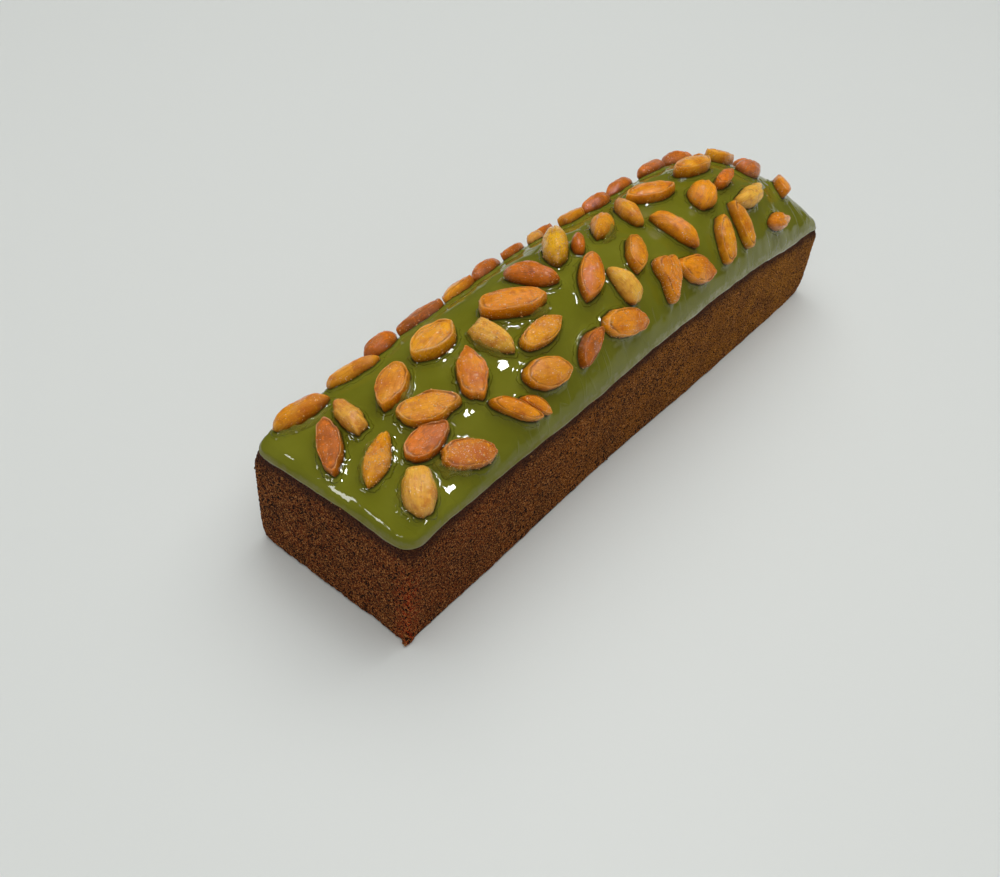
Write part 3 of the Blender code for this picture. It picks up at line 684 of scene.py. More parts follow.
def glaze_flow_tree():
    """Lets the glaze creep up the almonds and lie in ripples, and notes how far off they are."""
    tree, given = new_geometry_tree("Glaze flow", (
        ("Almonds", "Collection"), ("Creep Height", "Float"), ("Creep Reach", "Float"),
        ("Ripple Size", "Float"), ("Ripple Height", "Float"), ("Seed", "Float"), ("Material", "Material")))
    value = given.outputs
    almonds = add(tree, "GeometryNodeCollectionInfo", {"Collection": value["Almonds"]})
    solid = add(tree, "GeometryNodeRealizeInstances", {0: almonds})
    near = add(tree, "GeometryNodeProximity", {0: solid}, target_element="FACES")
    fray = add(tree, "ShaderNodeTexNoise", {"W": value["Seed"], "Scale": 330.0, "Detail": 2.0},
               noise_dimensions="4D")
    reach_share = add(tree, "ShaderNodeMapRange", {0: fray, 1: 0.3, 2: 0.7, 3: 0.45, 4: 1.5})
    reach = add(tree, "ShaderNodeMath", {0: value["Creep Reach"], 1: reach_share}, operation="MULTIPLY")
    distance = add(tree, "ShaderNodeMath", {0: near.outputs["Distance"], 1: reach}, operation="DIVIDE")
    # how the glaze falls away from an almond: share of its reach, share of its height
    curve = add(tree, "ShaderNodeFloatCurve", {"Value": distance})
    line = curve.mapping.curves[0]
    for at, height in ((0.22, 0.55), (0.5, 0.34), (0.76, 0.27), (0.9, 0.1)):
        line.points.new(at, height)
    line.points[0].location = (0.0, 1.0)
    line.points[-1].location = (1.0, 0.0)
    curve.mapping.update()
    creep = add(tree, "ShaderNodeMath", {0: curve, 1: value["Creep Height"]}, operation="MULTIPLY")
    ripple_scale = add(tree, "ShaderNodeMath", {0: 1.0, 1: value["Ripple Size"]}, operation="DIVIDE")
    ripple = add(tree, "ShaderNodeTexNoise", {"W": value["Seed"], "Scale": ripple_scale, "Detail": 1.5,
                                              "Roughness": 0.45}, noise_dimensions="4D")
    ripple_middle = add(tree, "ShaderNodeMath", {0: ripple, 1: 0.5}, operation="SUBTRACT")
    rippled = add(tree, "ShaderNodeMath", {0: ripple_middle, 1: value["Ripple Height"], 2: creep},
                  operation="MULTIPLY_ADD")
    depth = add(tree, "GeometryNodeInputNamedAttribute", {"Name": "depth"}, data_type="FLOAT")
    calm = add(tree, "ShaderNodeMapRange", {0: depth, 1: -0.2, 2: 1.5, 3: 0.75, 4: 1.0})
    calmed = add(tree, "ShaderNodeMath", {0: rippled, 1: calm}, operation="MULTIPLY")
    normal = add(tree, "GeometryNodeInputNormal")
    offset = add(tree, "ShaderNodeVectorMath", {0: normal, "Scale": calmed}, operation="SCALE")
    outer = add(tree, "GeometryNodeInputNamedAttribute", {"Name": "outer"}, data_type="FLOAT")
    outside = add(tree, "FunctionNodeCompare", {"A": outer, "B": 0.5}, operation="GREATER_THAN")
    reach_mm = add(tree, "ShaderNodeMath", {0: near.outputs["Distance"], 1: 1 / MM}, operation="MULTIPLY")
    noted = add(tree, "GeometryNodeStoreNamedAttribute", {
        "Geometry": value["Mesh"], "Name": "reach", "Value": reach_mm}, data_type="FLOAT", domain="POINT")
    moved = add(tree, "GeometryNodeSetPosition", {"Geometry": noted, "Selection": outside, "Offset": offset})
    finished = add(tree, "GeometryNodeSetMaterial", {"Geometry": moved, "Material": value["Material"]})
    add(tree, "NodeGroupOutput", {0: finished})
    return tree


def scatter_tree():
    """Scatters small lumps over a surface, where a named attribute allows them."""
    tree, given = new_geometry_tree("Scatter lumps", (
        ("Attribute", "String"), ("Density", "Float"), ("Smallest", "Float"), ("Largest", "Float"),
        ("Sunk", "Float"), ("Roughness", "Float"), ("Seed", "Int"), ("Material", "Material")))
    value = given.outputs
    share = add(tree, "GeometryNodeInputNamedAttribute", {"Name": value["Attribute"]}, data_type="FLOAT")
    density = add(tree, "ShaderNodeMath", {0: share, 1: value["Density"]}, operation="MULTIPLY")
    points = add(tree, "GeometryNodeDistributePointsOnFaces", {"Mesh": value["Mesh"], "Density": density,
                                                               "Seed": value["Seed"]})
    lump = add(tree, "GeometryNodeMeshIcoSphere", {"Radius": 1.0, "Subdivisions": 2})
    size = add(tree, "FunctionNodeRandomValue", {2: value["Smallest"], 3: value["Largest"], 8: value["Seed"]})
    stretch = add(tree, "FunctionNodeRandomValue", {0: (0.75, 0.75, 0.6), 1: (1.3, 1.3, 0.95),
                                                    8: value["Seed"]}, data_type="FLOAT_VECTOR")
    scale = add(tree, "ShaderNodeVectorMath", {0: stretch.outputs[0], "Scale": size.outputs[1]},
                operation="SCALE")
    spread = add(tree, "GeometryNodeInstanceOnPoints", {"Points": points, "Instance": lump, "Scale": scale,
                                                        "Rotation": points.outputs["Rotation"]})
    down = add(tree, "ShaderNodeMath", {0: size.outputs[1], 1: value["Sunk"]}, operation="MULTIPLY")
    down_way = add(tree, "ShaderNodeMath", {0: down, 1: -1.0}, operation="MULTIPLY")
    sink = add(tree, "ShaderNodeCombineXYZ", {2: down_way})
    seated = add(tree, "GeometryNodeTranslateInstances", {"Instances": spread, "Translation": sink})
    made = add(tree, "GeometryNodeRealizeInstances", {0: seated})
    uneven = add(tree, "ShaderNodeTexNoise", {"Scale": 1800.0, "Detail": 1.0})
    uneven_middle = add(tree, "ShaderNodeMath", {0: uneven, 1: 0.5}, operation="SUBTRACT")
    uneven_rise = add(tree, "ShaderNodeMath", {0: uneven_middle, 1: value["Roughness"]}, operation="MULTIPLY")
    normal = add(tree, "GeometryNodeInputNormal")
    offset = add(tree, "ShaderNodeVectorMath", {0: normal, "Scale": uneven_rise}, operation="SCALE")
    moved = add(tree, "GeometryNodeSetPosition", {"Geometry": made, "Offset": offset})
    finished = add(tree, "GeometryNodeSetMaterial", {"Geometry": moved, "Material": value["Material"]})
    add(tree, "NodeGroupOutput", {0: finished})
    return tree


# Forms

def wall_outline(radius):
    """The crust's plan outline with the given corner radius, as x, y and outward directions."""
    half_x, half_y = LENGTH / 2, WIDTH / 2
    parts = []
    sides = ((half_x, half_y, CRUST_LONG_SIDE), (half_y, half_x, CRUST_END)) * 2
    for turn, (run, near, count) in enumerate(sides):
        angle = turn * math.pi / 2
        along = np.linspace(-(run - radius), run - radius, count + 1)
        arc = np.linspace(0, math.pi / 2, CRUST_CORNER + 1)[1:-1]
        a = np.r_[along, run - radius + radius * np.sin(arc)]
        b = np.r_[np.full(count + 1, -near), -near + radius - radius * np.cos(arc)]
        way_a = np.r_[np.zeros(count + 1), np.sin(arc)]
        way_b = np.r_[-np.ones(count + 1), -np.cos(arc)]
        c, s = round(math.cos(angle)), round(math.sin(angle))
        parts.append(np.stack([a * c - b * s, a * s + b * c,
                               way_a * c - way_b * s, way_a * s + way_b * c], 1))
    return np.concatenate(parts).T


def shaped_wall(x, y, z):
    """Points of the wall: long sides drawn in, low corners cut back, the near corner with a burr."""
    low = 1 - np.minimum(z / HEM[0][1], 1)
    y = y * (1 - SIDE_BOW * low * np.exp(-(((x - BOW_PLACE) / BOW_REACH) ** 2)) / (WIDTH / 2))
    foot = np.maximum(1 - z / BASE_CORNER_HEIGHT, 0) ** 2
    corner = (np.abs(x) / (LENGTH / 2)) ** 24 * (np.abs(y) / (WIDTH / 2)) ** 8
    amount = np.where((x < 0) & (y < 0), -NEAR_CORNER_BURR, BASE_CORNER_CUT) * corner * foot
    return np.stack([x * (1 - amount / HALF_LENGTH), y * (1 - amount / HALF_WIDTH), z], 1)


def crust_rings():
    """Rings of the crust from its base up the walls and in under the glaze."""
    rng = np.random.default_rng(CRUST_SEED)
    x, y, way_x, way_y = wall_outline(WALL_CORNER)
    rings = [shaped_wall(x * scale, y * scale, np.zeros_like(x)) for scale in reversed(LID_SCALES)]
    for inward, up in ((BASE_ROUND, 0), (BASE_ROUND * 0.3, BASE_ROUND * 0.3)):
        rings.append(shaped_wall(x - way_x * inward, y - way_y * inward, np.full_like(x, up)))
    top = hem_height(x, y) - HEM_DROP - SHOULDER
    for level in range(CRUST_LEVELS + 1):
        z = BASE_ROUND + (top - BASE_ROUND) * level / CRUST_LEVELS
        round_share = np.clip(1 - (top - z).min() / WALL_CORNER_DEPTH, 0, 1)
        x, y, way_x, way_y = wall_outline(WALL_CORNER + (PLAN_CORNER - WALL_CORNER) * round_share**2)
        rings.append(shaped_wall(x, y, z))
    for inward, up in SHOULDER_STEPS:
        rings.append(np.stack([x - way_x * inward, y - way_y * inward, top + up], 1))
    rings += [under_top(x * scale, y * scale, LID_DEPTH) for scale in LID_SCALES]
    points = np.stack(rings)
    # the foot is a little uneven where crumbs stuck to the tin
    foot = np.exp(-((points[..., 2] - BASE_ROUND) / 1.6) ** 2)[..., None]
    wave = waves(points, 2.2, rng)[..., None] * 0.07 + waves(points, 7.0, rng)[..., None] * 0.13
    corner_away = np.hypot(points[..., 0] + LENGTH / 2, points[..., 1] + WIDTH / 2)
    burr = np.exp(-((corner_away / 3.2) ** 2)) * (0.6 + 0.6 * waves(points, 1.0, rng))
    wave = wave + burr[..., None] * NEAR_CORNER_RAG
    out = np.zeros_like(points)
    first_wall = len(LID_SCALES) + 1
    out[first_wall:first_wall + CRUST_LEVELS + 2, :, :2] = np.stack(wall_outline(WALL_CORNER)[2:], 1)
    return points + out * wave * foot


def crust_mesh():
    """The closed crust: points, faces."""
    return closed_skin(crust_rings(), np.zeros(3), under_top(0.0, 0.0, LID_DEPTH))


def crowd(t):
    """Spaces the glaze's grid lines closer towards its edges, where it rolls over."""
    return (1 - GLAZE_CROWDING) * t + GLAZE_CROWDING * np.sin(math.pi / 2 * t)


def glaze_mesh():
    """The glaze's outer grid, its wavy hem and an underside: points, faces, depth in, outer share."""
    u, v = np.meshgrid(np.linspace(-1, 1, GLAZE_ALONG + 1), np.linspace(-1, 1, GLAZE_ACROSS + 1),
                       indexing="ij")
    flat_x, flat_y = HALF_LENGTH - PLAN_CORNER, HALF_WIDTH - PLAN_CORNER
    x = crowd(u) * HALF_LENGTH
    over = np.maximum(np.abs(x) - flat_x, 0)
    y = crowd(v) * (flat_y + np.sqrt(np.maximum(PLAN_CORNER**2 - over**2, 0)))
    # the lip over the hem swells and dips as it ran
    rng = np.random.default_rng(GLAZE_SEED)
    plan, inside = np.stack([x, y], -1), inside_edge(x, y)
    lip = np.exp(-(((inside - 1.3) / 1.1) ** 2)) * waves(plan, 5.0, rng) * LIP_WAVE
    corner = np.exp(-((np.hypot(x + HALF_LENGTH, y + HALF_WIDTH) / 6) ** 2)) * (inside > 0.05)
    lip = lip + corner * waves(plan, 2.4, rng) * CORNER_CURL
    grid = np.stack([x, y, top_height(x, y) + lip], -1).reshape(-1, 3)
    index = np.arange(len(grid)).reshape(x.shape)
    quads = np.stack([index[:-1, :-1], index[1:, :-1], index[1:, 1:], index[:-1, 1:]], -1)
    faces = quads.reshape(-1, 4).tolist()
    loop = np.r_[index[:-1, 0], index[-1, :-1], index[:0:-1, -1], index[0, :0:-1]]
    edge = grid[loop]
    run = np.r_[0, np.cumsum(np.linalg.norm(np.diff(edge[:, :2], axis=0), axis=1))]
    turn = run / (run[-1] + 0.5) * 2 * math.pi
    wave = sum(height * np.sin(turn * count + rng.uniform(0, 6.28)) for count, height in HEM_WAVES)
    drop = HEM_DROP + 0.15 + wave * 0.7
    way = edge[:, :2] - np.clip(edge[:, :2], (-flat_x, -flat_y), (flat_x, flat_y))
    way /= np.linalg.norm(way, axis=1, keepdims=True)
    rings = [(np.c_[edge[:, :2] + way * out, edge[:, 2] - drop * down], depth, 1.0)
             for out, down, depth in HEM_SECTION]
    rings += [(under_top(edge[:, 0] * scale, edge[:, 1] * scale, GLAZE_THICKNESS), UNDERSIDE_DEPTH, 0.0)
              for scale in LID_SCALES[::2]]
    size = len(loop)
    points, depths, outer = [grid], [inside_edge(grid[:, 0], grid[:, 1])], [np.ones(len(grid))]
    before, start = loop, len(grid)
    for ring, depth, share in rings:
        here = start + np.arange(size)
        faces += np.stack([before, here, np.roll(here, -1), np.roll(before, -1)], 1).tolist()
        points.append(ring)
        depths.append(np.full(size, depth))
        outer.append(np.full(size, share))
        before, start = here, start + size
    faces += [(a, start, b) for a, b in zip(before, np.roll(before, -1))]
    points.append(under_top(0.0, 0.0, GLAZE_THICKNESS)[None])
    depths.append([UNDERSIDE_DEPTH])
    outer.append([0.0])
    return np.concatenate(points), faces, np.concatenate(depths), np.concatenate(outer)


def seat_frame(x, y, turn):
    """Place and directions of an almond on the glaze, long axis first."""
    step = 0.5
    slope_x = (top_height(x + step, y) - top_height(x - step, y)) / (2 * step)
    slope_y = (top_height(x, y + step) - top_height(x, y - step)) / (2 * step)
    normal = np.array([-float(slope_x), -float(slope_y), 1.0])
    normal /= np.linalg.norm(normal)
    heading = np.array([math.cos(turn), math.sin(turn), 0.0])
    along = heading - normal * (heading @ normal)
    along /= np.linalg.norm(along)
    return np.array([x, y, float(top_height(x, y))]), along, np.cross(normal, along), normal


def on_seat(seat, a, b, h):
    """Points a along and b across an almond's seat, h above its plane."""
    place, along, across, normal = seat
    return place + a[..., None] * along + b[..., None] * across + h[..., None] * normal


def glaze_level(seat, a, b):
    """Height of the glaze over an almond's own plane, found by halving."""
    low, high = np.full(a.shape, -3 * SEAT_DEPTH), np.full(a.shape, SEAT_DEPTH)
    for _ in range(16):
        middle = (low + high) / 2
        point = on_seat(seat, a, b, middle)
        above = point[..., 2] > top_height(point[..., 0], point[..., 1])
        high = np.where(above, middle, high)
        low = np.where(above, low, middle)
    return np.maximum(high, -SEAT_DEPTH)


def almond_outline(form, look, angle):
    """An almond's outline in plan at these angles, its half length and half width taken as 1."""
    blunt, point, taper, _, _, kept, _ = look
    if form == "broken":
        radius = 1 - BREAK_DEPTH * np.cos(BREAK_LOBES * angle)
        return radius * np.cos(angle), radius * np.sin(angle)
    a = np.cos(angle)
    power = np.minimum(blunt + (point - blunt) * (a + 1) / 2, 1)
    # two arcs that meet at a point, more so at the narrow end
    straight = 1 - 2 * np.arccos(np.clip(a, -1, 1)) / math.pi
    a = a + LENS[form] * np.where(a > 0, 1, 0.5) * (straight - a)
    return np.maximum(a, -kept), np.sign(np.sin(angle)) * np.abs(np.sin(angle)) ** power * (1 - taper * a)


def almond_mesh(number, form, x, y, turn, length, width, height):
    """One almond in its place: points, faces, the values that its finish reads and its skin map."""
    rng = np.random.default_rng(ALMOND_SEED + number)
    if y > SIDE_ROW:
        length, width, height = length * SIDE_ROW_LONG, width * SIDE_ROW_SLIM, height * SIDE_ROW_SLIM
    seat = seat_frame(float(x), float(y), math.radians(turn))
    t = np.linspace(0, 1, ALMOND_RINGS + 1)[1:]
    stations = PROFILES[form]
    scale, rise = (through([(s[0], s[k]) for s in stations], t)[:, None] for k in (1, 2))
    t = t[:, None]
    angle = np.linspace(0, 2 * math.pi, ALMOND_SEGMENTS, endpoint=False)[None]
    look = LOOKS.get(number, PLAIN_LOOK[form])
    belly, rim_height, lightness = look[3], look[4], look[6]
    flat_a, flat_b = almond_outline(form, look, angle)
    # uneven outline and a slightly bent spine
    uneven = 1 + sum(rng.normal(0, size) * np.cos(k * angle + rng.uniform(0, 6.28))
                     for k, size in ALMOND_UNEVEN)
    a = scale * flat_a * uneven * length / 2
    b = scale * flat_b * uneven * width / 2
    b = b + rng.normal(0, 0.25) * (4 * (a / length) ** 2 - 0.4)
    seated = np.clip((t - SEAT_START) / (1 - SEAT_START), 0, 1)
    flat = np.stack([a, b], -1)
    cut = form in ("half", "broken")
    # the middle swells or dips, the cut rim stands up here and there, the skin has lengthwise furrows
    swell = belly * (1 - np.minimum(scale, 1) ** 2)
    rim_line = np.exp(-((t - RIM_PLACE) / 0.035) ** 2) * (0.7 + 0.5 * waves(flat, 3.5, rng))
    furrow = waves(np.stack([a / 7, b], -1), 1.0, rng) * (0.05 if cut else 0.13)
    cleft = -0.12 * np.exp(-((b / (0.12 * width)) ** 2)) * cut
    cleft = cleft * (1 - np.minimum(np.abs(flat_a * scale), 1) ** 2)
    lumps = waves(flat, 3.6, rng) * 0.14 + waves(flat, 1.3, rng) * 0.04
    tilt = rng.normal(0, 0.05) * b / width + rng.normal(0, 0.05) * a / length
    groove = np.exp(-((t - RIM_PLACE + 0.07) / 0.035) ** 2) * cut * (0.6 + 0.6 * waves(flat, 3.0, rng))
    relief = (furrow + lumps + cleft * rng.uniform(-0.4, 1)) * (1 - seated) * np.minimum(scale * 3, 1)
    relief = relief - 0.14 * np.clip(groove, 0, 1)
    h = glaze_level(seat, a, b) * (ALMOND_BEND + (1 - ALMOND_BEND) * seated)
    h = h + (rise + tilt * (1 - seated)) * height + swell + rim_line * rim_height + relief
    rings = on_seat(seat, a, b, h)
    crown = stations[0][2] * height + belly + glaze_level(seat, np.zeros(1), np.zeros(1))[0] * ALMOND_BEND
    points, faces = closed_skin(rings, seat[0] + seat[3] * crown, rings[-1].mean(0))
    rim = np.exp(-((t - RIM_PLACE) / 0.024) ** 2) * cut * (0.55 + 0.5 * waves(flat, 2.5, rng))
    # darker towards the seat: caramel at the foot and painted contact shade
    bed = np.clip((0.66 - rise) / 0.62, 0, 1) ** 1.3 + 0 * a
    face = np.clip((FACE_END - t) / 0.06, 0, 1) * cut + 0 * a
    # painted light: almonds grow lighter towards the far end, where the light falls brighter
    lightness = lightness + ALMONDS_PALER + FAR_ALMONDS_PAINTED_LIGHT * max(x, 0) / HALF_LENGTH
    shade = lightness + rng.normal(0, 0.35) * a / length + 0.14 * waves(flat, 4.5, rng)
    # each value at the rings, at the crown and under the almond
    values = {name: np.clip(np.r_[ringed.ravel(), crowned, under], 0, 1)
              for name, ringed, crowned, under in (
                  ("face", face, cut, 0), ("rim", rim, 0, 0), ("groove", groove, 0, 0), ("bed", bed, 0, 1),
                  ("shade", shade, lightness, 0))}
    values["rim"] = values["rim"] * PALE_RIMS.get(number, 0.3)
    values["sugar"] = np.full(len(points), SUGARED.get(number, 0.05))
    down = np.maximum(height * (stations[0][2] - rise), 0)
    skin = np.c_[(a + down * np.cos(angle)).ravel(), (b + down * np.sin(angle)).ravel()]
    skin = np.r_[skin, [[0, 0], [0, 0]]] + number * 31.0
    return points, [tuple(reversed(face)) for face in faces], values, skin


def film_mesh(number, start, end, out, climb):
    """A tapering lens of syrup along one side of an almond: points and faces."""
    x, y, turn, length, width, height = ALMONDS[number - 1][2:]
    rng = np.random.default_rng(FILM_SEED + number)
    seat = seat_frame(float(x), float(y), math.radians(turn))
    angle = np.radians(np.linspace(start, end, FILM_STEPS))[:, None]
    swell = np.sin(np.linspace(0, math.pi, FILM_STEPS))[:, None] ** 0.5
    swell = swell * (1 + 0.18 * waves(angle * 6, 2.0, rng)[:, None])
    off, up = np.array(FILM_SECTION).T
    a = np.cos(angle) * (length / 2 + off * out * swell)
    b = np.sin(angle) * (width / 2 + off * out * swell)
    h = np.where(up > 0, up * climb * height * swell, up * height * 0.6) + glaze_level(seat, a, b)
    rings = on_seat(seat, a, b, h)
    return closed_skin(rings, rings[0].mean(0), rings[-1].mean(0))


# Settings, one group for each finish or piece

def colour_setting(name, description, code):
    """A colour that a user can change, from its sRGB hex value."""
    return FloatVectorProperty(name=name, description=description, subtype="COLOR", default=linear(code))


def length_setting(name, description, size):
    """A length that a user can change, from its size in millimetres."""
    return FloatProperty(name=name, description=description, default=size * MM, unit="LENGTH")


class CrustSettings(bpy.types.PropertyGroup):
    """Sizes and colours of the baked crust"""

    pore_size: length_setting("Pore Size", "Distance between pores", 0.85)
    pore_depth: length_setting("Pore Depth", "How deep the pores sink", 0.3)
    swell_size: length_setting("Swell Size", "Length of the crust's broad swells", 14)
    swell_height: length_setting("Swell Height", "Height of the crust's broad swells", 0.5)
    near_colour: colour_setting("Near Colour", "Crust at the near end", "#7d3911")
    # lighter than the near end partly by painted light from the far side
    far_colour: colour_setting("Far Colour", "Crust at the far end", "#b87318")
    patch_colour: colour_setting("Patches", "Darker baked patches", "#54290b")
    # a darker band under the hem
    hem_band_colour: colour_setting("Moist Band", "Moist crumb under the hem", "#3c2017")
    # red specks along the near corner: partly baked skin, partly painted glints
    corner_red_and_glint_colour: colour_setting("Corner", "Skin along the near corner", "#b03a10")
    grain_colour: colour_setting("Grains", "Light crumb grains", "#d89050")
    pore_colour: colour_setting("Pores", "Dark of the pores", "#0c0502")


class GlazeSettings(bpy.types.PropertyGroup):
    """Sizes and colours of the poured glaze"""

    creep_height: length_setting("Creep Height", "How far glaze climbs the almonds", 1.1)
    creep_reach: length_setting("Creep Reach", "Width of the pool round an almond", 2)
    ripple_size: length_setting("Ripple Size", "Length of the ripples", 9)
    ripple_height: length_setting("Ripple Height", "Height of the ripples", 1)
    colour: colour_setting("Colour", "Glaze", "#6e6f17")
    light_colour: colour_setting("Light Colour", "Glaze where it is thin", "#777820")
    # deeper syrup and painted shade where an almond meets the glaze
    pool_and_shade_colour: colour_setting("Pool Colour", "Deep syrup by the almonds", "#2c2806")
    # paler rim along the middle and far part of the long side
    pale_rim_colour: colour_setting("Dry Rim Colour", "Dried rim along the long side", "#b4b29a")
    rim_colour: colour_setting("Rim Colour", "Thin glaze over crust", "#827a52")


class AlmondSettings(bpy.types.PropertyGroup):
    """Colours of the almonds, one for each tone, and of their rims, their caramel feet with painted shade,
    and their sugar specks with painted glints
    """

    # pale specks: sugar grains and painted glints
    sugar_and_glint_colour: colour_setting("Sugar", "Sugar grains in the syrup", "#ffe6bc")
    amber: colour_setting("Amber", "Amber almonds", "#f8911b")
    orange: colour_setting("Orange", "Orange almonds", "#f2850f")
    rust: colour_setting("Rust", "Red-brown almonds", "#bc6b17")
    tan: colour_setting("Tan", "Pale almonds", "#ffa058")
    olive: colour_setting("Olive", "Almond with green showing through", "#dd9c08")
    rim_colour: colour_setting("Rim", "Pale edge of a cut face", "#e6bd84")
    # caramel at the foot with painted contact shade, also the dark line inside the cut rim
    caramel_and_shade_colour: colour_setting("Bed", "Caramel at the foot", "#642a08")


class SyrupSettings(bpy.types.PropertyGroup):
    """How much syrup and how many crumbs are scattered, and how large they are"""

    density: FloatProperty(name="Beads", description="Syrup beads on a square metre", default=420000.0)
    largest: length_setting("Largest Bead", "Radius of the largest bead", 0.3)
    crumbs: FloatProperty(name="Crumbs", description="Crumbs on a square metre of wall", default=26000.0)
    largest_crumb: length_setting("Largest Crumb", "Radius of the largest crumb", 0.45)
    seed: IntProperty(name="Seed", description="Seed of what is scattered", default=7)


class StageSettings(bpy.types.PropertyGroup):
    """The floor's colour and the strength of the lights"""

    floor_colour: colour_setting("Floor", "Pale table top", "#dfe2de")
    lamp: FloatProperty(name="Lamp", description="Power of the small lamps", default=7.5, unit="POWER")
    soft: FloatProperty(name="Soft Light", description="Power of the big soft light", default=27.0,
                        unit="POWER")
    sky: FloatProperty(name="Sky", description="Even light from the viewer's side of the room", default=0.22)
    sky_behind: FloatProperty(name="Sky Behind", description="Even light from behind the cake", default=0.06)


class LOAF_OT_crust(bpy.types.Operator):
    """Builds the brown crumb crust and its relief"""

    bl_idname = "loaf.crust"
    bl_label = "Crust"

    def execute(self, context):
        settings = context.scene.loaf_crust
        points, faces = crust_mesh()
        crust = new_piece("crust", points, faces)
        note(crust, "below", hem_height(points[:, 0], points[:, 1]) - points[:, 2])
        use_tree(crust, crumb_relief_tree(), {
            "Pore Size": settings.pore_size, "Pore Depth": settings.pore_depth,
            "Swell Size": settings.swell_size, "Swell Height": settings.swell_height,
            "Seed": RELIEF_SEED, "Material": crust_finish(settings)})
        belongs(crust, "crust", "cake")
        return {"FINISHED"}


class LOAF_OT_almonds(bpy.types.Operator):
    """Builds every almond in its place, one piece for each tone"""

    bl_idname = "loaf.almonds"
    bl_label = "Almonds"

    def execute(self, context):
        settings = context.scene.loaf_almonds
        group = bpy.data.collections.new("almond_pieces")
        context.scene.collection.children.link(group)
        for tone in TONES:
            numbers = [number for number, row in enumerate(ALMONDS, 1) if row[1] == tone]
            parts = [almond_mesh(number, ALMONDS[number - 1][0], *ALMONDS[number - 1][2:])
                     for number in numbers]
            finish = almond_finish(f"Syrup-coated {tone} almond", getattr(settings, tone), settings)
            piece = new_piece(f"almonds_{tone}", *joined(parts), finish)
            for name in parts[0][2]:
                note(piece, name, np.concatenate([values[name] for _, _, values, _ in parts]))
            corners = np.empty(len(piece.data.loops), np.int32)
            piece.data.loops.foreach_get("vertex_index", corners)
            skin = np.concatenate([part[3] for part in parts])[corners]
            piece.data.uv_layers.new(name="skin").data.foreach_set("uv", skin.astype(np.float32).ravel())
            context.scene.collection.objects.unlink(piece)
            group.objects.link(piece)
            belongs(piece, f"almond_{tone}", *(f"almond_{number:02d}" for number in numbers))
        return {"FINISHED"}


class LOAF_OT_glaze(bpy.types.Operator):
    """Pours the green glaze over the dome and round the almonds"""

    bl_idname = "loaf.glaze"
    bl_label = "Glaze"

    def execute(self, context):
        settings = context.scene.loaf_glaze
        points, faces, depth, outer = glaze_mesh()
        glaze = new_piece("glaze_coat", points, faces)
        note(glaze, "depth", depth)
        note(glaze, "outer", outer)
        use_tree(glaze, glaze_flow_tree(), {
            "Almonds": bpy.data.collections["almond_pieces"], "Creep Height": settings.creep_height,
            "Creep Reach": settings.creep_reach, "Ripple Size": settings.ripple_size,
            "Ripple Height": settings.ripple_height, "Seed": RIPPLE_SEED,
            "Material": glaze_finish(settings)})
        belongs(glaze, "matcha_glaze", "glaze")
        return {"FINISHED"}


class LOAF_OT_syrup(bpy.types.Operator):
    """Scatters the syrup beads over the almonds and the crumbs over the crust"""

    bl_idname = "loaf.syrup"
    bl_label = "Syrup and Crumbs"

    def execute(self, context):
        settings = context.scene.loaf_syrup
        tree = scatter_tree()
        finish = syrup_finish()
        for tone in TONES:
            beads = copy_of(bpy.data.objects[f"almonds_{tone}"], f"syrup_beads_{tone}")
            use_tree(beads, tree, {
                "Attribute": "sugar", "Density": settings.density, "Smallest": settings.largest / 4,
                "Largest": settings.largest, "Sunk": 0.35, "Roughness": 0.0, "Seed": settings.seed,
                "Material": finish})
            belongs(beads, f"almond_{tone}")
        films = joined([film_mesh(*film) for film in FILMS])
        belongs(new_piece("syrup_films", *films, film_finish()), "matcha_glaze")
        crumbs = copy_of(bpy.data.objects["crust"], "crust_crumbs")
        places = np.empty(len(crumbs.data.vertices) * 3, np.float32)
        crumbs.data.vertices.foreach_get("co", places)
        x, y, height = (places[axis::3] / MM for axis in range(3))
        # on the walls, most of them low, and thick at the foot of the near corner
        wall = np.maximum(np.abs(x) - LENGTH / 2 + 2, np.abs(y) - WIDTH / 2 + 2)
        corner = np.hypot(x + LENGTH / 2, y + WIDTH / 2)
        spread = (wall > 0) * (height > 0.6) * (0.35 + 0.65 * np.exp(-height / 3))
        spread = spread + 12 * np.exp(-((corner / 4) ** 2)) * (height > 0.2) * (height < 3)
        note(crumbs, "spread", spread)
        use_tree(crumbs, tree, {
            "Attribute": "spread", "Density": settings.crumbs, "Smallest": settings.largest_crumb / 3,
            "Largest": settings.largest_crumb, "Sunk": 0.5, "Roughness": 0.5 * MM, "Seed": settings.seed,
            "Material": crumb_finish(context.scene.loaf_crust)})
        belongs(crumbs, "crust")
        return {"FINISHED"}


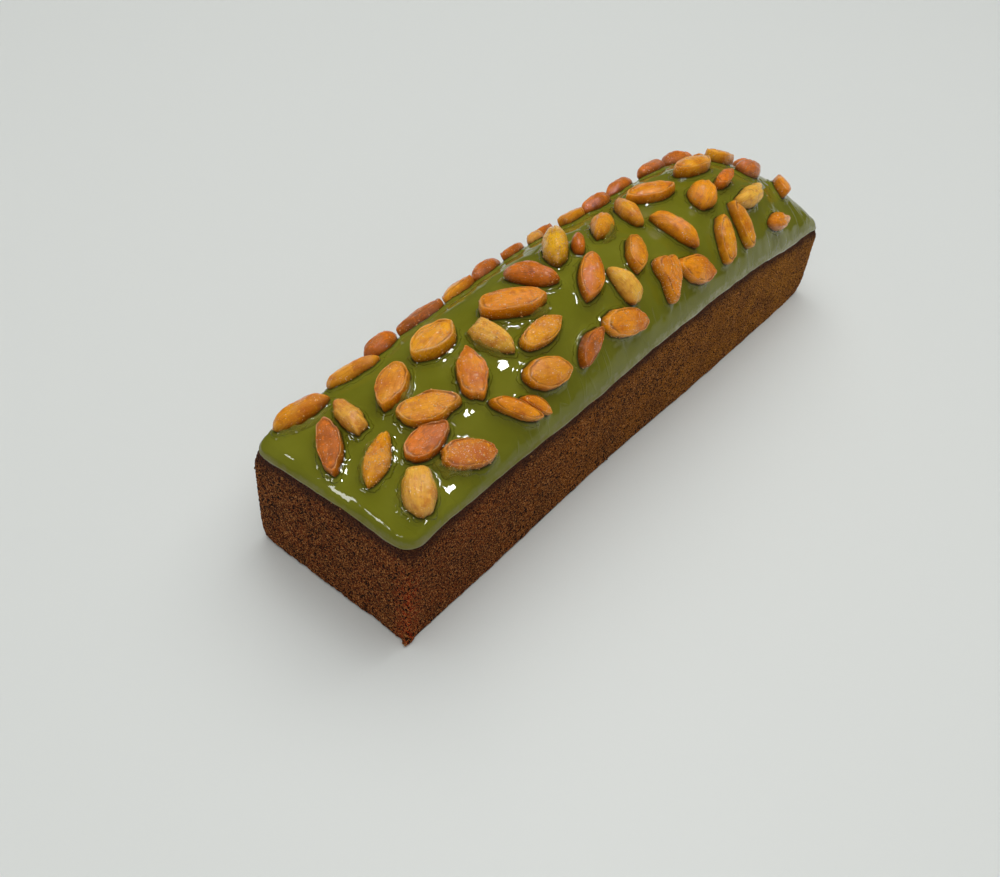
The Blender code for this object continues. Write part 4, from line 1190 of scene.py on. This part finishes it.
class LOAF_OT_stage(bpy.types.Operator):
    """Sets the pale table, the soft light and the camera at the photograph's angle"""

    bl_idname = "loaf.stage"
    bl_label = "Stage"

    def execute(self, context):
        settings = context.scene.loaf_stage
        scene = context.scene
        finish, _, _ = new_material(
            "Smooth pale table", Base_Color=(*settings.floor_colour, 1), Roughness=0.55,
            Specular_IOR_Level=0.3)
        corners = [(x * FLOOR_REACH, y * FLOOR_REACH, 0) for x, y in ((-1, -1), (1, -1), (1, 1), (-1, 1))]
        new_piece("floor", corners, [(0, 1, 2, 3)], finish)
        # even light from the room, stronger on the viewer's side
        world = bpy.data.worlds.new("even_light")
        scene.world = world
        world.use_nodes = True
        room = world.node_tree
        around = add(room, "ShaderNodeTexCoord").outputs["Generated"]
        facing = add(room, "ShaderNodeVectorMath", {0: around, 1: (-0.82, -0.57, 0.0)},
                     operation="DOT_PRODUCT")
        strength = add(room, "ShaderNodeMapRange", {0: facing.outputs["Value"], 1: -0.7, 2: 0.7,
                                                    3: settings.sky_behind, 4: settings.sky})
        room.nodes["Background"].inputs[0].default_value = (*linear("#f4f6f8"), 1)
        room.links.new(strength.outputs[0], room.nodes["Background"].inputs[1])
        # small lamps that only glint, and two broad soft lights that only light: direction from the
        # cake, distance, width and depth (m), power
        for name, way, far, wide, deep, power, glint in (
                ("ceiling_lamp", (0.24, -0.04, 0.97), 1.1, 0.19, 0.15, settings.lamp, True),
                ("edge_lamp", (-0.52, 0.47, 0.72), 1.1, 0.26, 0.16, settings.lamp * 0.3, True),
                ("top_soft", (0.27, 0.13, 0.95), 1.5, 2.2, 2.2, settings.soft, False),
                ("front_soft", (-0.62, -0.4, 0.67), 1.6, 1.8, 1.8, settings.soft * 0.22, False)):
            data = bpy.data.lights.new(name, "AREA")
            data.shape = "RECTANGLE"
            data.size, data.size_y = wide, deep
            data.energy = power
            lamp = bpy.data.objects.new(name, data)
            scene.collection.objects.link(lamp)
            lamp.location = Vector(LAMP_TARGET) + Vector(way).normalized() * far
            lamp.rotation_euler = Vector(way).to_track_quat("Z", "Y").to_euler()
            lamp.visible_glossy = glint
            lamp.visible_diffuse = not glint
        azimuth, elevation, roll = (math.radians(a) for a in CAMERA_ANGLES)
        back = Vector((math.sin(azimuth) * math.cos(elevation), -math.cos(azimuth) * math.cos(elevation),
                       math.sin(elevation)))
        right = Vector((0, 0, 1)).cross(back).normalized()
        up = back.cross(right)
        turned_right = math.cos(roll) * right + math.sin(roll) * up
        turned_up = -math.sin(roll) * right + math.cos(roll) * up
        data = bpy.data.cameras.new("photo_camera")
        data.sensor_width = SENSOR_WIDTH
        data.lens = CAMERA_LENS
        data.clip_start = 0.01
        camera = bpy.data.objects.new("photo_camera", data)
        scene.collection.objects.link(camera)
        camera.matrix_world = (Matrix.Translation(CAMERA_PLACE)
                               @ Matrix((turned_right, turned_up, back)).transposed().to_4x4())
        scene.camera = camera
        scene.view_settings.view_transform = "Standard"
        return {"FINISHED"}


class LOAF_PT_panel(bpy.types.Panel):
    """Lists the steps that dress the cake"""

    bl_idname = "LOAF_PT_panel"
    bl_label = "Matcha Loaf Cake"
    bl_space_type = "VIEW_3D"
    bl_region_type = "UI"
    bl_category = "Loaf Cake"

    def draw(self, context):
        for step in STEPS:
            self.layout.operator(step.bl_idname)


STEPS = (LOAF_OT_crust, LOAF_OT_almonds, LOAF_OT_glaze, LOAF_OT_syrup, LOAF_OT_stage)
GROUPS = {
    "loaf_crust": CrustSettings, "loaf_glaze": GlazeSettings, "loaf_almonds": AlmondSettings,
    "loaf_syrup": SyrupSettings, "loaf_stage": StageSettings,
}


def register():
    """Registers every class and hangs the groups of settings on the scene."""
    for kind in (*GROUPS.values(), *STEPS, LOAF_PT_panel):
        bpy.utils.register_class(kind)
    for name, kind in GROUPS.items():
        setattr(bpy.types.Scene, name, PointerProperty(type=kind))


def unregister():
    """Takes back what register did."""
    for name in GROUPS:
        delattr(bpy.types.Scene, name)
    for kind in reversed((*GROUPS.values(), *STEPS, LOAF_PT_panel)):
        bpy.utils.unregister_class(kind)


def main():
    """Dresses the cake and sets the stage."""
    register()
    bpy.ops.loaf.crust()
    bpy.ops.loaf.almonds()
    bpy.ops.loaf.glaze()
    bpy.ops.loaf.syrup()
    bpy.ops.loaf.stage()


if __name__ == "__main__":
    main()
